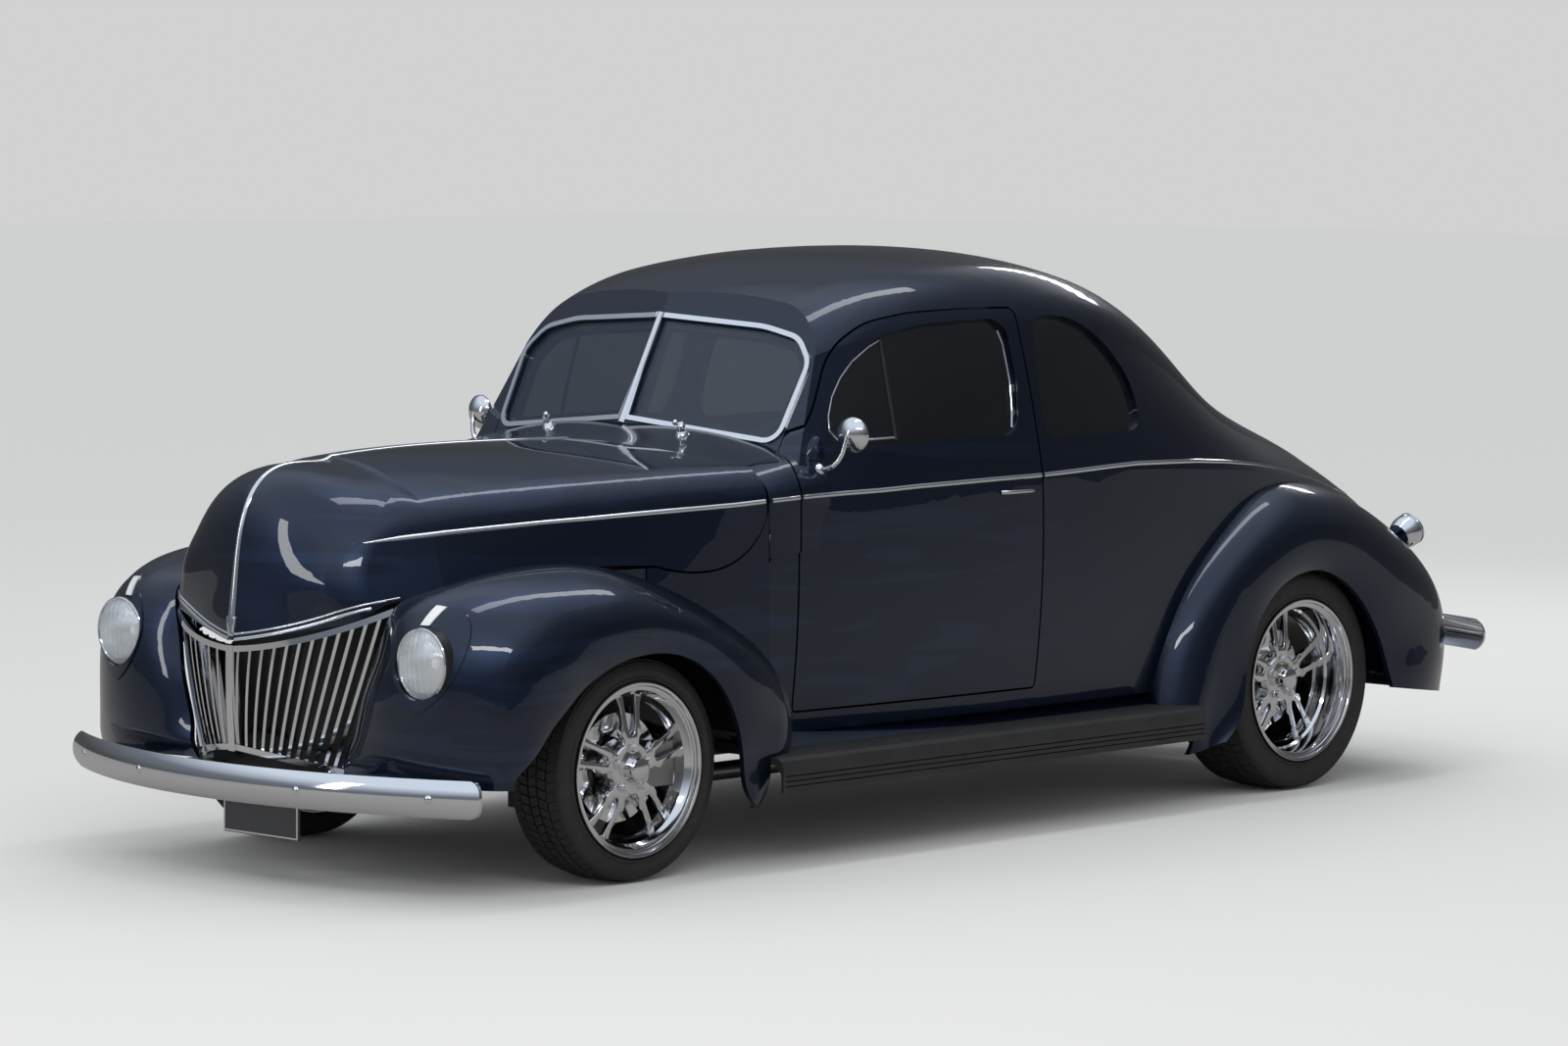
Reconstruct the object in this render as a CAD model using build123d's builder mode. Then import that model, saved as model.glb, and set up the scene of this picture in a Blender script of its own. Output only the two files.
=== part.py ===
"""A 1940s style coupe street rod, modelled as the separate pieces that it is assembled from.

Millimetres, with +X forwards, +Y to the driver's left and +Z up.
The origin is on the ground, at the middle of the overall length and width.
"""

from build123d import *
import math
import os

os.makedirs("parts", exist_ok=True)

# Overall size and the places of the axles
LENGTH = 4781.0
WHEELBASE = 2845.0
FRONT_AXLE_X = 1510.0
REAR_AXLE_X = FRONT_AXLE_X - WHEELBASE
PANEL_GAP = 6.0  # shut line round the doors, the hood and the deck lid
SEAT_GAP = 0.5  # clearance between pieces that turn on each other

# Wheels: tyre radius and width, rim radius, where the rim's outer lip stands and how deep its dish is
FRONT_WHEEL = dict(tyre_r=306.0, tyre_w=205.0, rim_r=237.0, face_y=746.0, dish=30.0)
REAR_WHEEL = dict(tyre_r=337.0, tyre_w=245.0, rim_r=248.0, face_y=764.0, dish=84.0)
SPOKE_PAIRS = 5
LUG_CIRCLE_R = 57.0
KINGPIN_Y = 592.0

# Body shell
BODY_WALL = 38.0
SILL_DROP = 10.0
WINDSHIELD_FOOT = (844.0, 0.0, 1180.0)
WINDSHIELD_SWEEP = 7.5  # degrees that each pane turns back from straight ahead
WINDSHIELD_RAKE = 27.7  # degrees from upright
WINDSHIELD_WALL = 42.0
GLASS = 6.0
GLASS_INSET = 16.0
REBATE = 30.0  # width of the ledge behind the windshield's glass
COWL_REAR_X = 950.0
COWL_NOSE_X = 1030.0  # the hood's rear edge is an arc in plan, furthest forward at the centre
COWL_HALF = 690.0

# Skins of the hood and the fenders
HOOD_WALL = 18.0
FENDER_WALL = 16.0

# Cross-sections of the body, front to back. The crown is the flat arc over the roof or deck,
# and it ends at (y_crown, z_crown), where the tighter arc down to (w_rail, z_rail) begins.
BODY_SECTIONS = [
    # x, z_low, w_low, w_mid, w_belt, z_belt, w_rail, z_rail, y_crown, z_crown, z_top
    (980, 345, 640, 672, 668, 1000, 500, 1250, 330, 1368, 1398),
    (700, 345, 668, 702, 700, 1008, 572, 1370, 400, 1482, 1520),
    (400, 345, 688, 724, 722, 1015, 615, 1440, 440, 1588, 1630),
    (50, 345, 702, 738, 737, 1020, 632, 1465, 455, 1620, 1666),
    (-300, 345, 706, 743, 742, 1022, 632, 1455, 455, 1612, 1660),
    (-650, 345, 702, 738, 738, 1014, 608, 1385, 440, 1545, 1604),
    (-950, 345, 690, 722, 722, 998, 565, 1260, 415, 1402, 1468),
    (-1200, 350, 670, 698, 698, 978, 535, 1125, 385, 1230, 1282),
    (-1420, 360, 640, 664, 664, 950, 505, 1055, 345, 1130, 1162),
    (-1750, 380, 570, 588, 586, 880, 430, 968, 290, 1018, 1042),
    (-2030, 400, 470, 482, 470, 760, 340, 830, 220, 868, 884),
    (-2135, 420, 380, 385, 372, 600, 270, 652, 160, 680, 690),
]

# The cowl between the hood and the windshield
COWL_SECTIONS = [
    # x, half width, height at the sides, height in the middle
    (1045, 664, 1000, 1138),
    (950, 690, 1000, 1150),
    (850, 698, 1008, 1176),
    (720, 700, 1010, 1196),
]

# Sections of the nose: those with an angle stand in planes that fan round the line at NOSE_FAN,
# from below level to upright, and those with an x stand across the car behind it.
# Heights are measured outwards from that line. The side leans in by lean at the belt,
# the shoulder has its own radius, and keel is the angle of the crease along the centre.
NOSE_FAN = (1950.0, 700.0)
NOSE_SECTIONS = [
    # angle or x, w_low, h_low, w_belt, h_belt, lean, shoulder, h_top, keel
    (-14, 440, 60, 385, 190, 28, 150, 365, 12),
    (14, 446, 60, 380, 205, 27, 152, 354, 11),
    (36, 448, 60, 360, 240, 27, 160, 400, 8),
    (55, 450, 60, 352, 266, 27, 158, 453, 4),
    (73, 452, 60, 372, 266, 22, 150, 440, 2),
    (1950, 458, 45, 400, 262, 18, 140, 433, 1.5),
    (1740, 500, -20, 458, 270, 12, 130, 446, 1),
    (1500, 555, -90, 528, 278, 8, 122, 450, 1),
    (1230, 622, -180, 606, 288, 4, 112, 447, 1),
    (930, 692, -300, 690, 300, 1, 100, 441, 1),
]

# Fender sections stand in planes that fan round the axle, at an angle from straight ahead.
# The skin runs from its inner edge over the crown and the shoulder to the lip of the arch.
FRONT_FENDER_SECTIONS = [
    # angle, y_in, r_in, y_crown, r_crown, y_side, r_side, y_lip, r_lip
    (0, 300, 657, 590, 668, 788, 590, 828, 542),
    (7, 326, 666, 590, 690, 792, 600, 830, 500),
    (14, 351, 676, 590, 712, 796, 610, 832, 458),
    (20, 375, 694, 592, 733, 800, 624, 832, 437),
    (27, 402, 715, 595, 757, 804, 640, 832, 412),
    (37, 441, 758, 600, 768, 808, 640, 830, 388),
    (48, 438, 657, 640, 705, 811, 590, 828, 366),
    (62, 438, 574, 650, 622, 814, 525, 826, 344),
    (78, 455, 520, 660, 562, 816, 475, 824, 326),
    (95, 500, 488, 675, 516, 816, 438, 822, 319),
    (115, 560, 484, 695, 498, 816, 424, 820, 318),
    (135, 610, 520, 710, 520, 814, 440, 820, 318),
    (152, 640, 590, 730, 570, 812, 478, 820, 318),
    (168, 650, 640, 745, 600, 810, 482, 820, 319),
    (184, 655, 590, 755, 550, 806, 455, 820, 326),
    (198, 665, 480, 760, 462, 802, 420, 822, 385),
]
REAR_FENDER_SECTIONS = [
    # angle, y_in, r_in, y_crown, r_crown, y_side, r_side, y_lip, r_lip
    (-17, 660, 640, 770, 628, 814, 560, 842, 492),
    (2, 665, 655, 780, 620, 822, 520, 838, 375),
    (18, 660, 630, 788, 588, 826, 500, 832, 366),
    (34, 650, 600, 790, 572, 828, 492, 828, 362),
    (52, 640, 575, 785, 556, 830, 480, 824, 358),
    (72, 615, 588, 770, 568, 832, 480, 820, 349),
    (90, 590, 592, 760, 572, 832, 480, 815, 341),
    (109, 560, 596, 750, 577, 830, 480, 812, 330),
    (130, 505, 632, 740, 612, 826, 500, 812, 323),
    (148, 440, 706, 715, 697, 818, 560, 814, 324),
    (163, 390, 790, 690, 785, 808, 620, 817, 332),
    (175, 365, 800, 690, 790, 804, 640, 820, 346),
    (187, 350, 792, 680, 778, 796, 640, 822, 380),
]


def crown_arc(end, top):
    """An arc from end up to top that is level at the centre line. Gives its direction at end."""
    rise = top[1] - end[1]
    radius = (end[0] ** 2 + rise**2) / (2 * rise)
    half = math.asin(end[0] / radius) / 2
    middle = (radius * math.sin(half), top[1] - radius + radius * math.cos(half))
    ThreePointArc(end, middle, top)
    return (math.cos(2 * half), -math.sin(2 * half))


def body_loft(inset, drop):
    """The body's whole outer form, or with an inset the form of the space inside it."""
    with BuildPart() as form:
        for x, z_low, w_low, w_mid, w_belt, z_belt, w_rail, z_rail, y_crown, z_crown, z_top in BODY_SECTIONS:
            with BuildSketch(Plane.YZ.offset(x)):
                with BuildLine():
                    low = (w_low - inset, z_low - drop)
                    belt = (w_belt - inset, z_belt)
                    rail = (w_rail - inset, z_rail - inset * 0.3)
                    crown = (y_crown - inset * 0.5, z_crown - inset)
                    Line((0, z_low - drop), low)
                    ThreePointArc(low, (w_mid - inset, (z_low + z_belt) / 2), belt)
                    ThreePointArc(belt, ((belt[0] + rail[0]) / 2 + 8, (belt[1] + rail[1]) / 2), rail)
                    slope = crown_arc(crown, (0, z_top - inset))
                    TangentArc(crown, rail, tangent=slope)
                    mirror(about=Plane.YZ)
                make_face()
        loft()
    return form.part


def windshield_plane(side, back=0.0):
    """The plane of one pane: side is 1 on the left and -1 on the right, back moves it into the cab."""
    rake = math.radians(WINDSHIELD_RAKE)
    sweep = math.radians(WINDSHIELD_SWEEP)
    outward = Vector(
        math.cos(rake) * math.cos(sweep),
        side * math.cos(rake) * math.sin(sweep),
        math.sin(rake),
    )
    across = Vector(-side * math.sin(sweep), math.cos(sweep), 0)
    return Plane(origin=Vector(*WINDSHIELD_FOOT) - outward * back, x_dir=across, z_dir=outward)


def behind_windshield(form, back):
    """What of a form lies behind both windshield planes."""
    for side in (1, -1):
        form = split(form, bisect_by=windshield_plane(side, back), keep=Keep.BOTTOM)
    return form


def cowl_loft(inset, drop):
    """The cowl ahead of the windshield, from below the belt up."""
    with BuildPart() as form:
        for x, half, z_side, z_middle in COWL_SECTIONS:
            with BuildSketch(Plane.YZ.offset(x)):
                with BuildLine():
                    foot = (half - inset, z_side - 160 - drop)
                    shoulder = (half - inset, z_side - inset * 0.5)
                    turn = (half - 95 - inset, z_side + (z_middle - z_side) * 0.6 - inset)
                    Line((0, foot[1]), foot)
                    Line(foot, shoulder)
                    slope = crown_arc(turn, (0, z_middle - inset))
                    TangentArc(turn, shoulder, tangent=slope)
                    mirror(about=Plane.YZ)
                make_face()
        loft()
    return form.part


def nose_plane(place):
    """The plane of one nose section: an angle of the fan, or an x across the car."""
    x_fan, z_fan = NOSE_FAN
    if place > 180:
        return Plane(origin=(place, 0, z_fan), x_dir=(0, 1, 0), z_dir=(1, 0, 0))
    turn = math.radians(place)
    return Plane(origin=(x_fan, 0, z_fan), x_dir=(0, 1, 0), z_dir=(math.sin(turn), 0, -math.cos(turn)))


def arc_heading(start, middle, end):
    """The direction in which an arc through three points arrives at its end."""
    (x1, y1), (x2, y2), (x3, y3) = start, middle, end
    twist = 2 * (x1 * (y2 - y3) + x2 * (y3 - y1) + x3 * (y1 - y2))
    squares = [x1**2 + y1**2, x2**2 + y2**2, x3**2 + y3**2]
    x_mid = (squares[0] * (y2 - y3) + squares[1] * (y3 - y1) + squares[2] * (y1 - y2)) / twist
    y_mid = (squares[0] * (x3 - x2) + squares[1] * (x1 - x3) + squares[2] * (x2 - x1)) / twist
    heading = (-(y3 - y_mid), x3 - x_mid)
    if twist < 0:
        heading = (y3 - y_mid, -(x3 - x_mid))
    return heading


def nose_side(section, inset, drop=0.0):
    """Draw one side of a nose section, from the centre line down to its low edge."""
    place, w_low, h_low, w_belt, h_belt, lean, shoulder, h_top, keel = section
    lean, keel = math.radians(lean), math.radians(keel)
    radius = shoulder - inset
    across = w_belt - shoulder * math.cos(lean)
    down = h_belt - shoulder * math.sin(lean)
    rise = h_top - inset - down
    reach = 2 * (rise * math.cos(keel) - across * math.sin(keel) - radius)
    crown_r = (across**2 + rise**2 - radius**2) / reach
    centre = Vector(-crown_r * math.sin(keel), down + rise - crown_r * math.cos(keel))
    toward = (Vector(across, down) - centre).normalized()
    join = centre + toward * crown_r
    belt = (across + radius * math.cos(lean), down + radius * math.sin(lean))
    low = (w_low - inset, h_low - drop)
    TangentArc(belt, low, tangent=(math.sin(lean), -math.cos(lean)))
    TangentArc(belt, (join.X, join.Y), tangent=(-math.sin(lean), math.cos(lean)))
    TangentArc((join.X, join.Y), (0, h_top - inset), tangent=(-toward.Y, toward.X))
    return low


def nose_loft(grow):
    """The whole form of the nose between its sections, made larger all round by grow."""
    with BuildPart() as form:
        for section in NOSE_SECTIONS:
            with BuildSketch(nose_plane(section[0])):
                with BuildLine():
                    low = nose_side(section, -grow)
                    Line((0, low[1]), low)
                    mirror(about=Plane.YZ)
                make_face()
        loft(ruled=True)
    return form.part


def nose_skin():
    """The sheet of the nose, from its fanned sections ahead of NOSE_FAN and its upright ones behind."""
    fanned = [section for section in NOSE_SECTIONS if section[0] < 90 or section[0] == NOSE_FAN[0]]
    upright = [section for section in NOSE_SECTIONS if section[0] > 90]
    with BuildPart() as form:
        for run in (fanned, upright):
            for section in run:
                with BuildSketch(nose_plane(section[0])):
                    with BuildLine():
                        outer = nose_side(section, 0)
                        inner = nose_side(section, HOOD_WALL)
                        Line(outer, inner)
                        mirror(about=Plane.YZ)
                    make_face()
            loft()
    return form.part


def fender_loft(sections, x_axle, z_axle):
    """A left-hand fender: a skin whose closed sections fan round the axle."""
    with BuildPart() as form:
        for angle, y_in, r_in, y_crown, r_crown, y_side, r_side, y_lip, r_lip in sections:
            turn = math.radians(angle)
            section_plane = Plane(
                origin=(x_axle, 0, z_axle), x_dir=(0, 1, 0), z_dir=(math.sin(turn), 0, -math.cos(turn))
            )
            wall = FENDER_WALL
            outer = [(y_in, r_in), (y_crown, r_crown), (y_side, r_side)]
            inner = [(y_in, r_in - wall), (y_crown, r_crown - wall), (y_side - wall, r_side - wall * 0.6)]
            with BuildSketch(section_plane):
                with BuildLine():
                    ThreePointArc(*outer)
                    TangentArc(outer[2], (y_lip, r_lip), tangent=arc_heading(*outer))
                    Line((y_lip, r_lip), (y_lip - wall, r_lip))
                    TangentArc(inner[2], (y_lip - wall, r_lip), tangent=arc_heading(*inner))
                    ThreePointArc(*inner)
                    Line(inner[0], outer[0])
                make_face()
        loft()
    return form.part


# Outlines in side view, as (x, z)
DOOR_FRONT_X = 836
DOOR_REAR_X = -134
DOOR_INNER_Y = 575
DOOR_OUTLINE = [
    # x, z, corner radius
    (DOOR_FRONT_X, 402, 15), (DOOR_FRONT_X, 1102, 150), (716, 1232, 400), (616, 1400, 250), (470, 1472, 380),
    (300, 1496, 700), (30, 1504, 900), (DOOR_REAR_X, 1500, 26), (DOOR_REAR_X, 402, 15),
]
DOOR_WINDOW = [
    (678, 1128, 34), (678, 1218, 170), (603, 1330, 330), (466, 1425, 390), (282, 1463, 1100), (-84, 1474, 68),
    (-84, 1290, 300), (-54, 1139, 70),
]
QUARTER_WINDOW = [
    (-166, 1120, 55), (-170, 1285, 600), (-203, 1474, 50), (-362, 1474, 330), (-519, 1412, 350), (-621, 1281, 190),
    (-621, 1131, 60),
]

# Outlines across the car
WINDSHIELD_PANE = [(15, 16), (560, -40, 50), (588, 208, 70), (530, 281, 90), (400, 312, 400), (15, 338)]
REAR_WINDOW = dict(x=-985, z=1448, slope=33, width=720, height=215, corner=70)
DECK_FRONT_X = -1290
DECK_REAR_X = -2078
DECK_FRONT_HALF = 415
DECK_REAR_HALF = 285
DECK_HINGE_Z = 1232
DECK_SLOPE = 29.3

# Wheelhouse over each rear wheel
REAR_ARCH_R = 398.0
REAR_ARCH_Y = 478.0

# The hood's lower edge, along the cowl and the fender and up the front to the grille
HOOD_SEAM_BACK = ((948, 1010), (1003, 876), (1130, 812))
HOOD_SEAM_TURN = ((1130, 812), (1215, 812), (1300, 830))
HOOD_SEAM_SIDE = ((1300, 830), (1800, 818), (2110, 762))
HOOD_SEAM_NOSE = (2330, 640)
COWL_SIDE_FRONT_X = 1330
HOOD_REST_Z = 1101.3

# Grille
GRILLE_TOP = ((2298, 0, 634), (2245, 250, 676), (2100, 418, 748))
GRILLE_LOW = ((2290, 0, 372), (2252, 160, 350), (2160, 286, 318))
GRILLE_BARS = 12
BAR_WIDTH = 9.0
BAR_DEPTH = 22.0
SIDE_BAR_WIDTH = 16.0

# Door mirrors
MIRROR_HEAD = (677.0, 751.0, 1171.0)
MIRROR_ARM = [(714, 755, 1169), (724, 746, 1118), (733, 724, 1086), (738, 690, 1074)]

# Lamps
LAMP_PLACE = (612.0, 630.0)
LAMP_R = 92.0
LENS_X = 2178.0
BEZEL_ARCS = [
    ((632, 781), (712, 735), (729, 672)),
    ((729, 672), (706, 584), (602, 496)),
    ((602, 496), (530, 566), (510, 640)),
    ((510, 640), (546, 726), (632, 781)),
]
BEZEL_RAISE = 4.0
SIDE_LAMP = [(588, 729), (615, 729), (633, 776), (603, 779)]
SIDE_LAMP_RAISE = 9.0

# Bumpers: the bar's face at the centre, the radius that it is bent to and its height
FRONT_BUMPER = dict(face_x=2390.5, bend_r=1700.0, half=826.0, z=288.0)
REAR_BUMPER = dict(face_x=2390.5, bend_r=1930.0, half=800.0, z=418.0)
BUMPER_HEIGHT = 100.0
BUMPER_CROWN = 20.0
BUMPER_WALL = 8.0

# Frame and floor
RAIL_Y = 330.0
RAIL_WIDTH = 56.0
RAIL_TOP = 345.0
RAIL_FRONT_X = 2085.0
RAIL_REAR_X = -2080.0
FLOOR_Z = 345.3
FIREWALL_X = 942.0
SPINDLE_R = 16.0

# Steering column: its ends, and the steering wheel's radius
COLUMN_LOW = (915.0, 360.0, 820.0)
COLUMN_TOP = (452.0, 360.0, 1010.0)
STEERING_R = 190.0
BOARD = dict(x_front=1068.0, x_rear=-752.0, y_in=694.0, y_out=856.0, top=308.0, low=212.0)


def side_plane(y):
    """The plane of a side view at y, with x forwards and y upwards, looking from the car's left."""
    return Plane(origin=(0, y, 0), x_dir=(1, 0, 0), z_dir=(0, -1, 0))


def outline_face(sketch, corners, grow=0.0):
    """Draw a closed outline, moved outwards by grow. A corner is (across, up), with its radius if rounded."""
    Polygon(*[corner[:2] for corner in corners], align=None)
    for corner in corners:
        if len(corner) > 2:
            fillet(sketch.vertices().sort_by_distance(corner[:2])[0], radius=corner[2])
    if grow:
        offset(amount=grow, kind=Kind.INTERSECTION)


def side_prism(corners, y_from, y_to, grow=0.0):
    """A prism across the car over an outline in side view."""
    with BuildPart() as form:
        with BuildSketch(side_plane(y_from)) as sketch:
            outline_face(sketch, corners, grow)
        extrude(amount=y_from - y_to)
    return form.part


def box(x, y, z):
    """A plain box between pairs of limits."""
    with BuildPart() as form:
        with BuildSketch(Plane.XY.offset(z[0])):
            Polygon((x[0], y[0]), (x[1], y[0]), (x[1], y[1]), (x[0], y[1]), align=None)
        extrude(amount=z[1] - z[0])
    return form.part


def rod(start, end, radius):
    """A round bar between two points."""
    path = Vector(*end) - Vector(*start)
    with BuildPart() as form:
        with BuildSketch(Plane(origin=start, z_dir=path)):
            Circle(radius)
        extrude(amount=path.length)
    return form.part


def turned(profile, origin, along):
    """A solid turned about a line: its profile is (distance along the line, radius) points."""
    across = (0, 0, 1) if abs(along[2]) < 0.9 else (0, 1, 0)
    plane = Plane(origin=origin, x_dir=along, z_dir=Vector(*along).cross(Vector(*across)))
    with BuildPart() as form:
        with BuildSketch(plane):
            with BuildLine():
                Polyline(*profile, close=True)
            make_face()
        revolve(axis=Axis(origin, along))
    return form.part


def cowl_cylinder(grow):
    """An upright cylinder whose front is the arc, in plan, of the hood's rear edge."""
    depth = COWL_NOSE_X - COWL_REAR_X
    radius = (COWL_HALF**2 + depth**2) / (2 * depth)
    with BuildPart() as form:
        with BuildSketch(Plane.XY.offset(200)):
            with Locations((COWL_NOSE_X - radius, 0)):
                Circle(radius + grow)
        extrude(amount=1600)
    return form.part


def windshield_prism(side, grow, near, far):
    """One pane's outline, widened by grow, as a prism between two distances out from its plane."""
    with BuildPart() as form:
        with BuildSketch(windshield_plane(side, -near)) as sketch:
            outline_face(sketch, [(side * corner[0], *corner[1:]) for corner in WINDSHIELD_PANE], grow)
        extrude(amount=far - near)
    return form.part


def rear_window_prism(grow, near, far):
    """The rear window's outline as a prism between two distances out from the body."""
    slope = math.radians(REAR_WINDOW["slope"])
    outward = Vector(-math.sin(slope), 0, math.cos(slope))
    origin = Vector(REAR_WINDOW["x"], 0, REAR_WINDOW["z"]) + outward * near
    with BuildPart() as form:
        with BuildSketch(Plane(origin=origin, x_dir=(0, 1, 0), z_dir=outward)):
            RectangleRounded(
                REAR_WINDOW["width"] + 2 * grow, REAR_WINDOW["height"] + 2 * grow, REAR_WINDOW["corner"]
            )
        extrude(amount=far - near)
    return form.part


def deck_plane():
    """The plane of the deck lid, level across the car, with x backwards and down from the hinge."""
    slope = math.radians(DECK_SLOPE)
    return Plane(
        origin=(DECK_FRONT_X, 0, DECK_HINGE_Z), x_dir=(-math.cos(slope), 0, -math.sin(slope)),
        z_dir=(-math.sin(slope), 0, math.cos(slope)),
    )


DECK_LENGTH = (DECK_FRONT_X - DECK_REAR_X) / math.cos(math.radians(DECK_SLOPE))


def deck_prism(grow):
    """The deck lid's outline as a prism square to the lid."""
    outline = [
        (0, DECK_FRONT_HALF), (DECK_LENGTH, DECK_REAR_HALF), (DECK_LENGTH, -DECK_REAR_HALF), (0, -DECK_FRONT_HALF),
    ]
    with BuildPart() as form:
        with BuildSketch(deck_plane().offset(-150)) as sketch:
            outline_face(sketch, outline, grow)
            fillet(sketch.vertices(), radius=70)
        extrude(amount=350)
    return form.part


def hood_seam_prism(gap):
    """Everything above the hood's lower edge, which is raised by a gap."""
    def lifted(arc):
        return [(x, z + gap) for x, z in arc]
    with BuildPart() as form:
        with BuildSketch(side_plane(900)):
            with BuildLine():
                back = ThreePointArc(*lifted(HOOD_SEAM_BACK))
                ThreePointArc(*lifted(HOOD_SEAM_TURN))
                ThreePointArc(*lifted(HOOD_SEAM_SIDE))
                nose = (HOOD_SEAM_NOSE[0], HOOD_SEAM_NOSE[1] + gap)
                Polyline(
                    lifted(HOOD_SEAM_SIDE)[2], nose, (nose[0] + 60, nose[1]), (nose[0] + 60, 1300),
                    (850, 1300), (850, HOOD_SEAM_BACK[0][1] + gap), lifted(HOOD_SEAM_BACK)[0],
                )
            make_face()
        extrude(amount=1800)
    return form.part


# The body shell, whole, before its doors, lid and windows are cut out
outer_form = behind_windshield(body_loft(0, 0), 0) + cowl_loft(0, 0)
inner_form = behind_windshield(body_loft(BODY_WALL, SILL_DROP), WINDSHIELD_WALL) + cowl_loft(BODY_WALL, SILL_DROP)
with BuildPart() as tub:
    add(outer_form)
    add(inner_form, mode=Mode.SUBTRACT)
    add(cowl_cylinder(0), mode=Mode.INTERSECT)
    for side in (1, -1):
        with BuildSketch(side_plane(side * REAR_ARCH_Y)):
            with Locations((REAR_AXLE_X, REAR_WHEEL["tyre_r"])):
                Circle(REAR_ARCH_R)
        extrude(amount=-side * 500, mode=Mode.SUBTRACT)

# Hinge leaves, strikers and buffers inside the shut lines: they reach to just short of what they carry
glass_outer = body_loft(GLASS_INSET, 0)
REST_GAP = 0.3
half_gap = PANEL_GAP / 2
with BuildPart() as rests:
    for x_hinge, z_low, z_high in ((DOOR_FRONT_X, 560, 630), (DOOR_FRONT_X, 890, 960)):
        add(box((x_hinge - half_gap + REST_GAP, x_hinge + half_gap + 1), (600, 800), (z_low, z_high)))
    add(box((DOOR_REAR_X - half_gap - 1, DOOR_REAR_X + half_gap - REST_GAP), (600, 800), (740, 790)))
    mirror(about=Plane.XZ)
    for along, inward in ((0, 1), (DECK_LENGTH, -1)):
        with BuildSketch(deck_plane().offset(-100)):
            edge, seat = along - inward * (half_gap + 1), along + inward * (half_gap - REST_GAP)
            Polygon((edge, -60), (seat, -60), (seat, 60), (edge, 60), align=None)
        extrude(amount=200)
    add(glass_outer, mode=Mode.INTERSECT)
    add(inner_form, mode=Mode.SUBTRACT)

door_slots = [side_prism(DOOR_OUTLINE, side * (DOOR_INNER_Y - half_gap), side * 900, half_gap) for side in (1, -1)]
quarter_windows = [side_prism(QUARTER_WINDOW, side * 480, side * 900) for side in (1, -1)]

with BuildPart() as body_shell:
    add(tub.part)
    add(door_slots, mode=Mode.SUBTRACT)
    add(quarter_windows, mode=Mode.SUBTRACT)
    add([windshield_prism(side, 0, -GLASS - 8, 60) for side in (1, -1)], mode=Mode.SUBTRACT)
    add([windshield_prism(side, -REBATE, -90, 0) for side in (1, -1)], mode=Mode.SUBTRACT)
    add(rear_window_prism(0, -120, 150), mode=Mode.SUBTRACT)
    add(deck_prism(half_gap), mode=Mode.SUBTRACT)
    add(rests.part)
body_shell.part.label = "body_shell"
export_step(body_shell.part, "parts/body_shell.step")

# Doors, each as thick as the body's wall, with its window cut
with BuildPart() as door_left:
    add(tub.part)
    add(side_prism(DOOR_OUTLINE, DOOR_INNER_Y, 900, -half_gap), mode=Mode.INTERSECT)
    add(side_prism(DOOR_WINDOW, 540, 900), mode=Mode.SUBTRACT)
door_left.part.label = "door_left"
export_step(door_left.part, "parts/door_left.step")
with BuildPart() as door_right:
    mirror(door_left.part, about=Plane.XZ)
door_right.part.label = "door_right"
export_step(door_right.part, "parts/door_right.step")

# Side and rear glass, a thin skin part way through the wall
glass_inner = body_loft(GLASS_INSET + GLASS, SILL_DROP)
with BuildPart() as door_glass_left:
    add(glass_outer)
    add(side_prism(DOOR_WINDOW, 540, 900), mode=Mode.INTERSECT)
    add(glass_inner, mode=Mode.SUBTRACT)
door_glass_left.part.label = "door_glass_left"
export_step(door_glass_left.part, "parts/door_glass_left.step")
with BuildPart() as door_glass_right:
    mirror(door_glass_left.part, about=Plane.XZ)
door_glass_right.part.label = "door_glass_right"
export_step(door_glass_right.part, "parts/door_glass_right.step")

# Door mirrors: a round head on a bent arm that stands on the door
with BuildPart() as mirror_left:
    add(turned([(0, 0), (0, 46), (4, 51), (14, 51), (30, 37), (40, 12), (40, 0)], MIRROR_HEAD, (0.97, 0.12, -0.05)))
    for start, end in zip(MIRROR_ARM, MIRROR_ARM[1:]):
        add(rod(start, end, 6))
    add(rod((MIRROR_ARM[-1][0], 660, MIRROR_ARM[-1][2]), MIRROR_ARM[-1], 16))
    add(outer_form, mode=Mode.SUBTRACT)
mirror_left.part.label = "mirror_left"
export_step(mirror_left.part, "parts/mirror_left.step")
with BuildPart() as mirror_right:
    mirror(mirror_left.part, about=Plane.XZ)
mirror_right.part.label = "mirror_right"
export_step(mirror_right.part, "parts/mirror_right.step")
with BuildPart() as quarter_glass:
    add(glass_outer)
    add(quarter_windows[0], mode=Mode.INTERSECT)
    add(glass_inner, mode=Mode.SUBTRACT)
    mirror(about=Plane.XZ)
quarter_glass.part.label = "quarter_glass"
export_step(quarter_glass.part, "parts/quarter_glass.step")
with BuildPart() as rear_window:
    add(glass_outer)
    add(rear_window_prism(0, -120, 150), mode=Mode.INTERSECT)
    add(glass_inner, mode=Mode.SUBTRACT)
rear_window.part.label = "rear_window"
export_step(rear_window.part, "parts/rear_window.step")

# Windshield: two flat panes and the bright frame round them
with BuildPart() as windshield:
    add([windshield_prism(side, 0, -GLASS - 8, -8) for side in (1, -1)])
windshield.part.label = "windshield"
export_step(windshield.part, "parts/windshield.step")
with BuildPart() as windshield_trim:
    add([windshield_prism(side, 9, 0.5, 6) for side in (1, -1)])
    add([windshield_prism(side, -6, -4, 20) for side in (1, -1)], mode=Mode.SUBTRACT)
    add(cowl_loft(-SEAT_GAP, 0), mode=Mode.SUBTRACT)
windshield_trim.part.label = "windshield_trim"
export_step(windshield_trim.part, "parts/windshield_trim.step")

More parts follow.
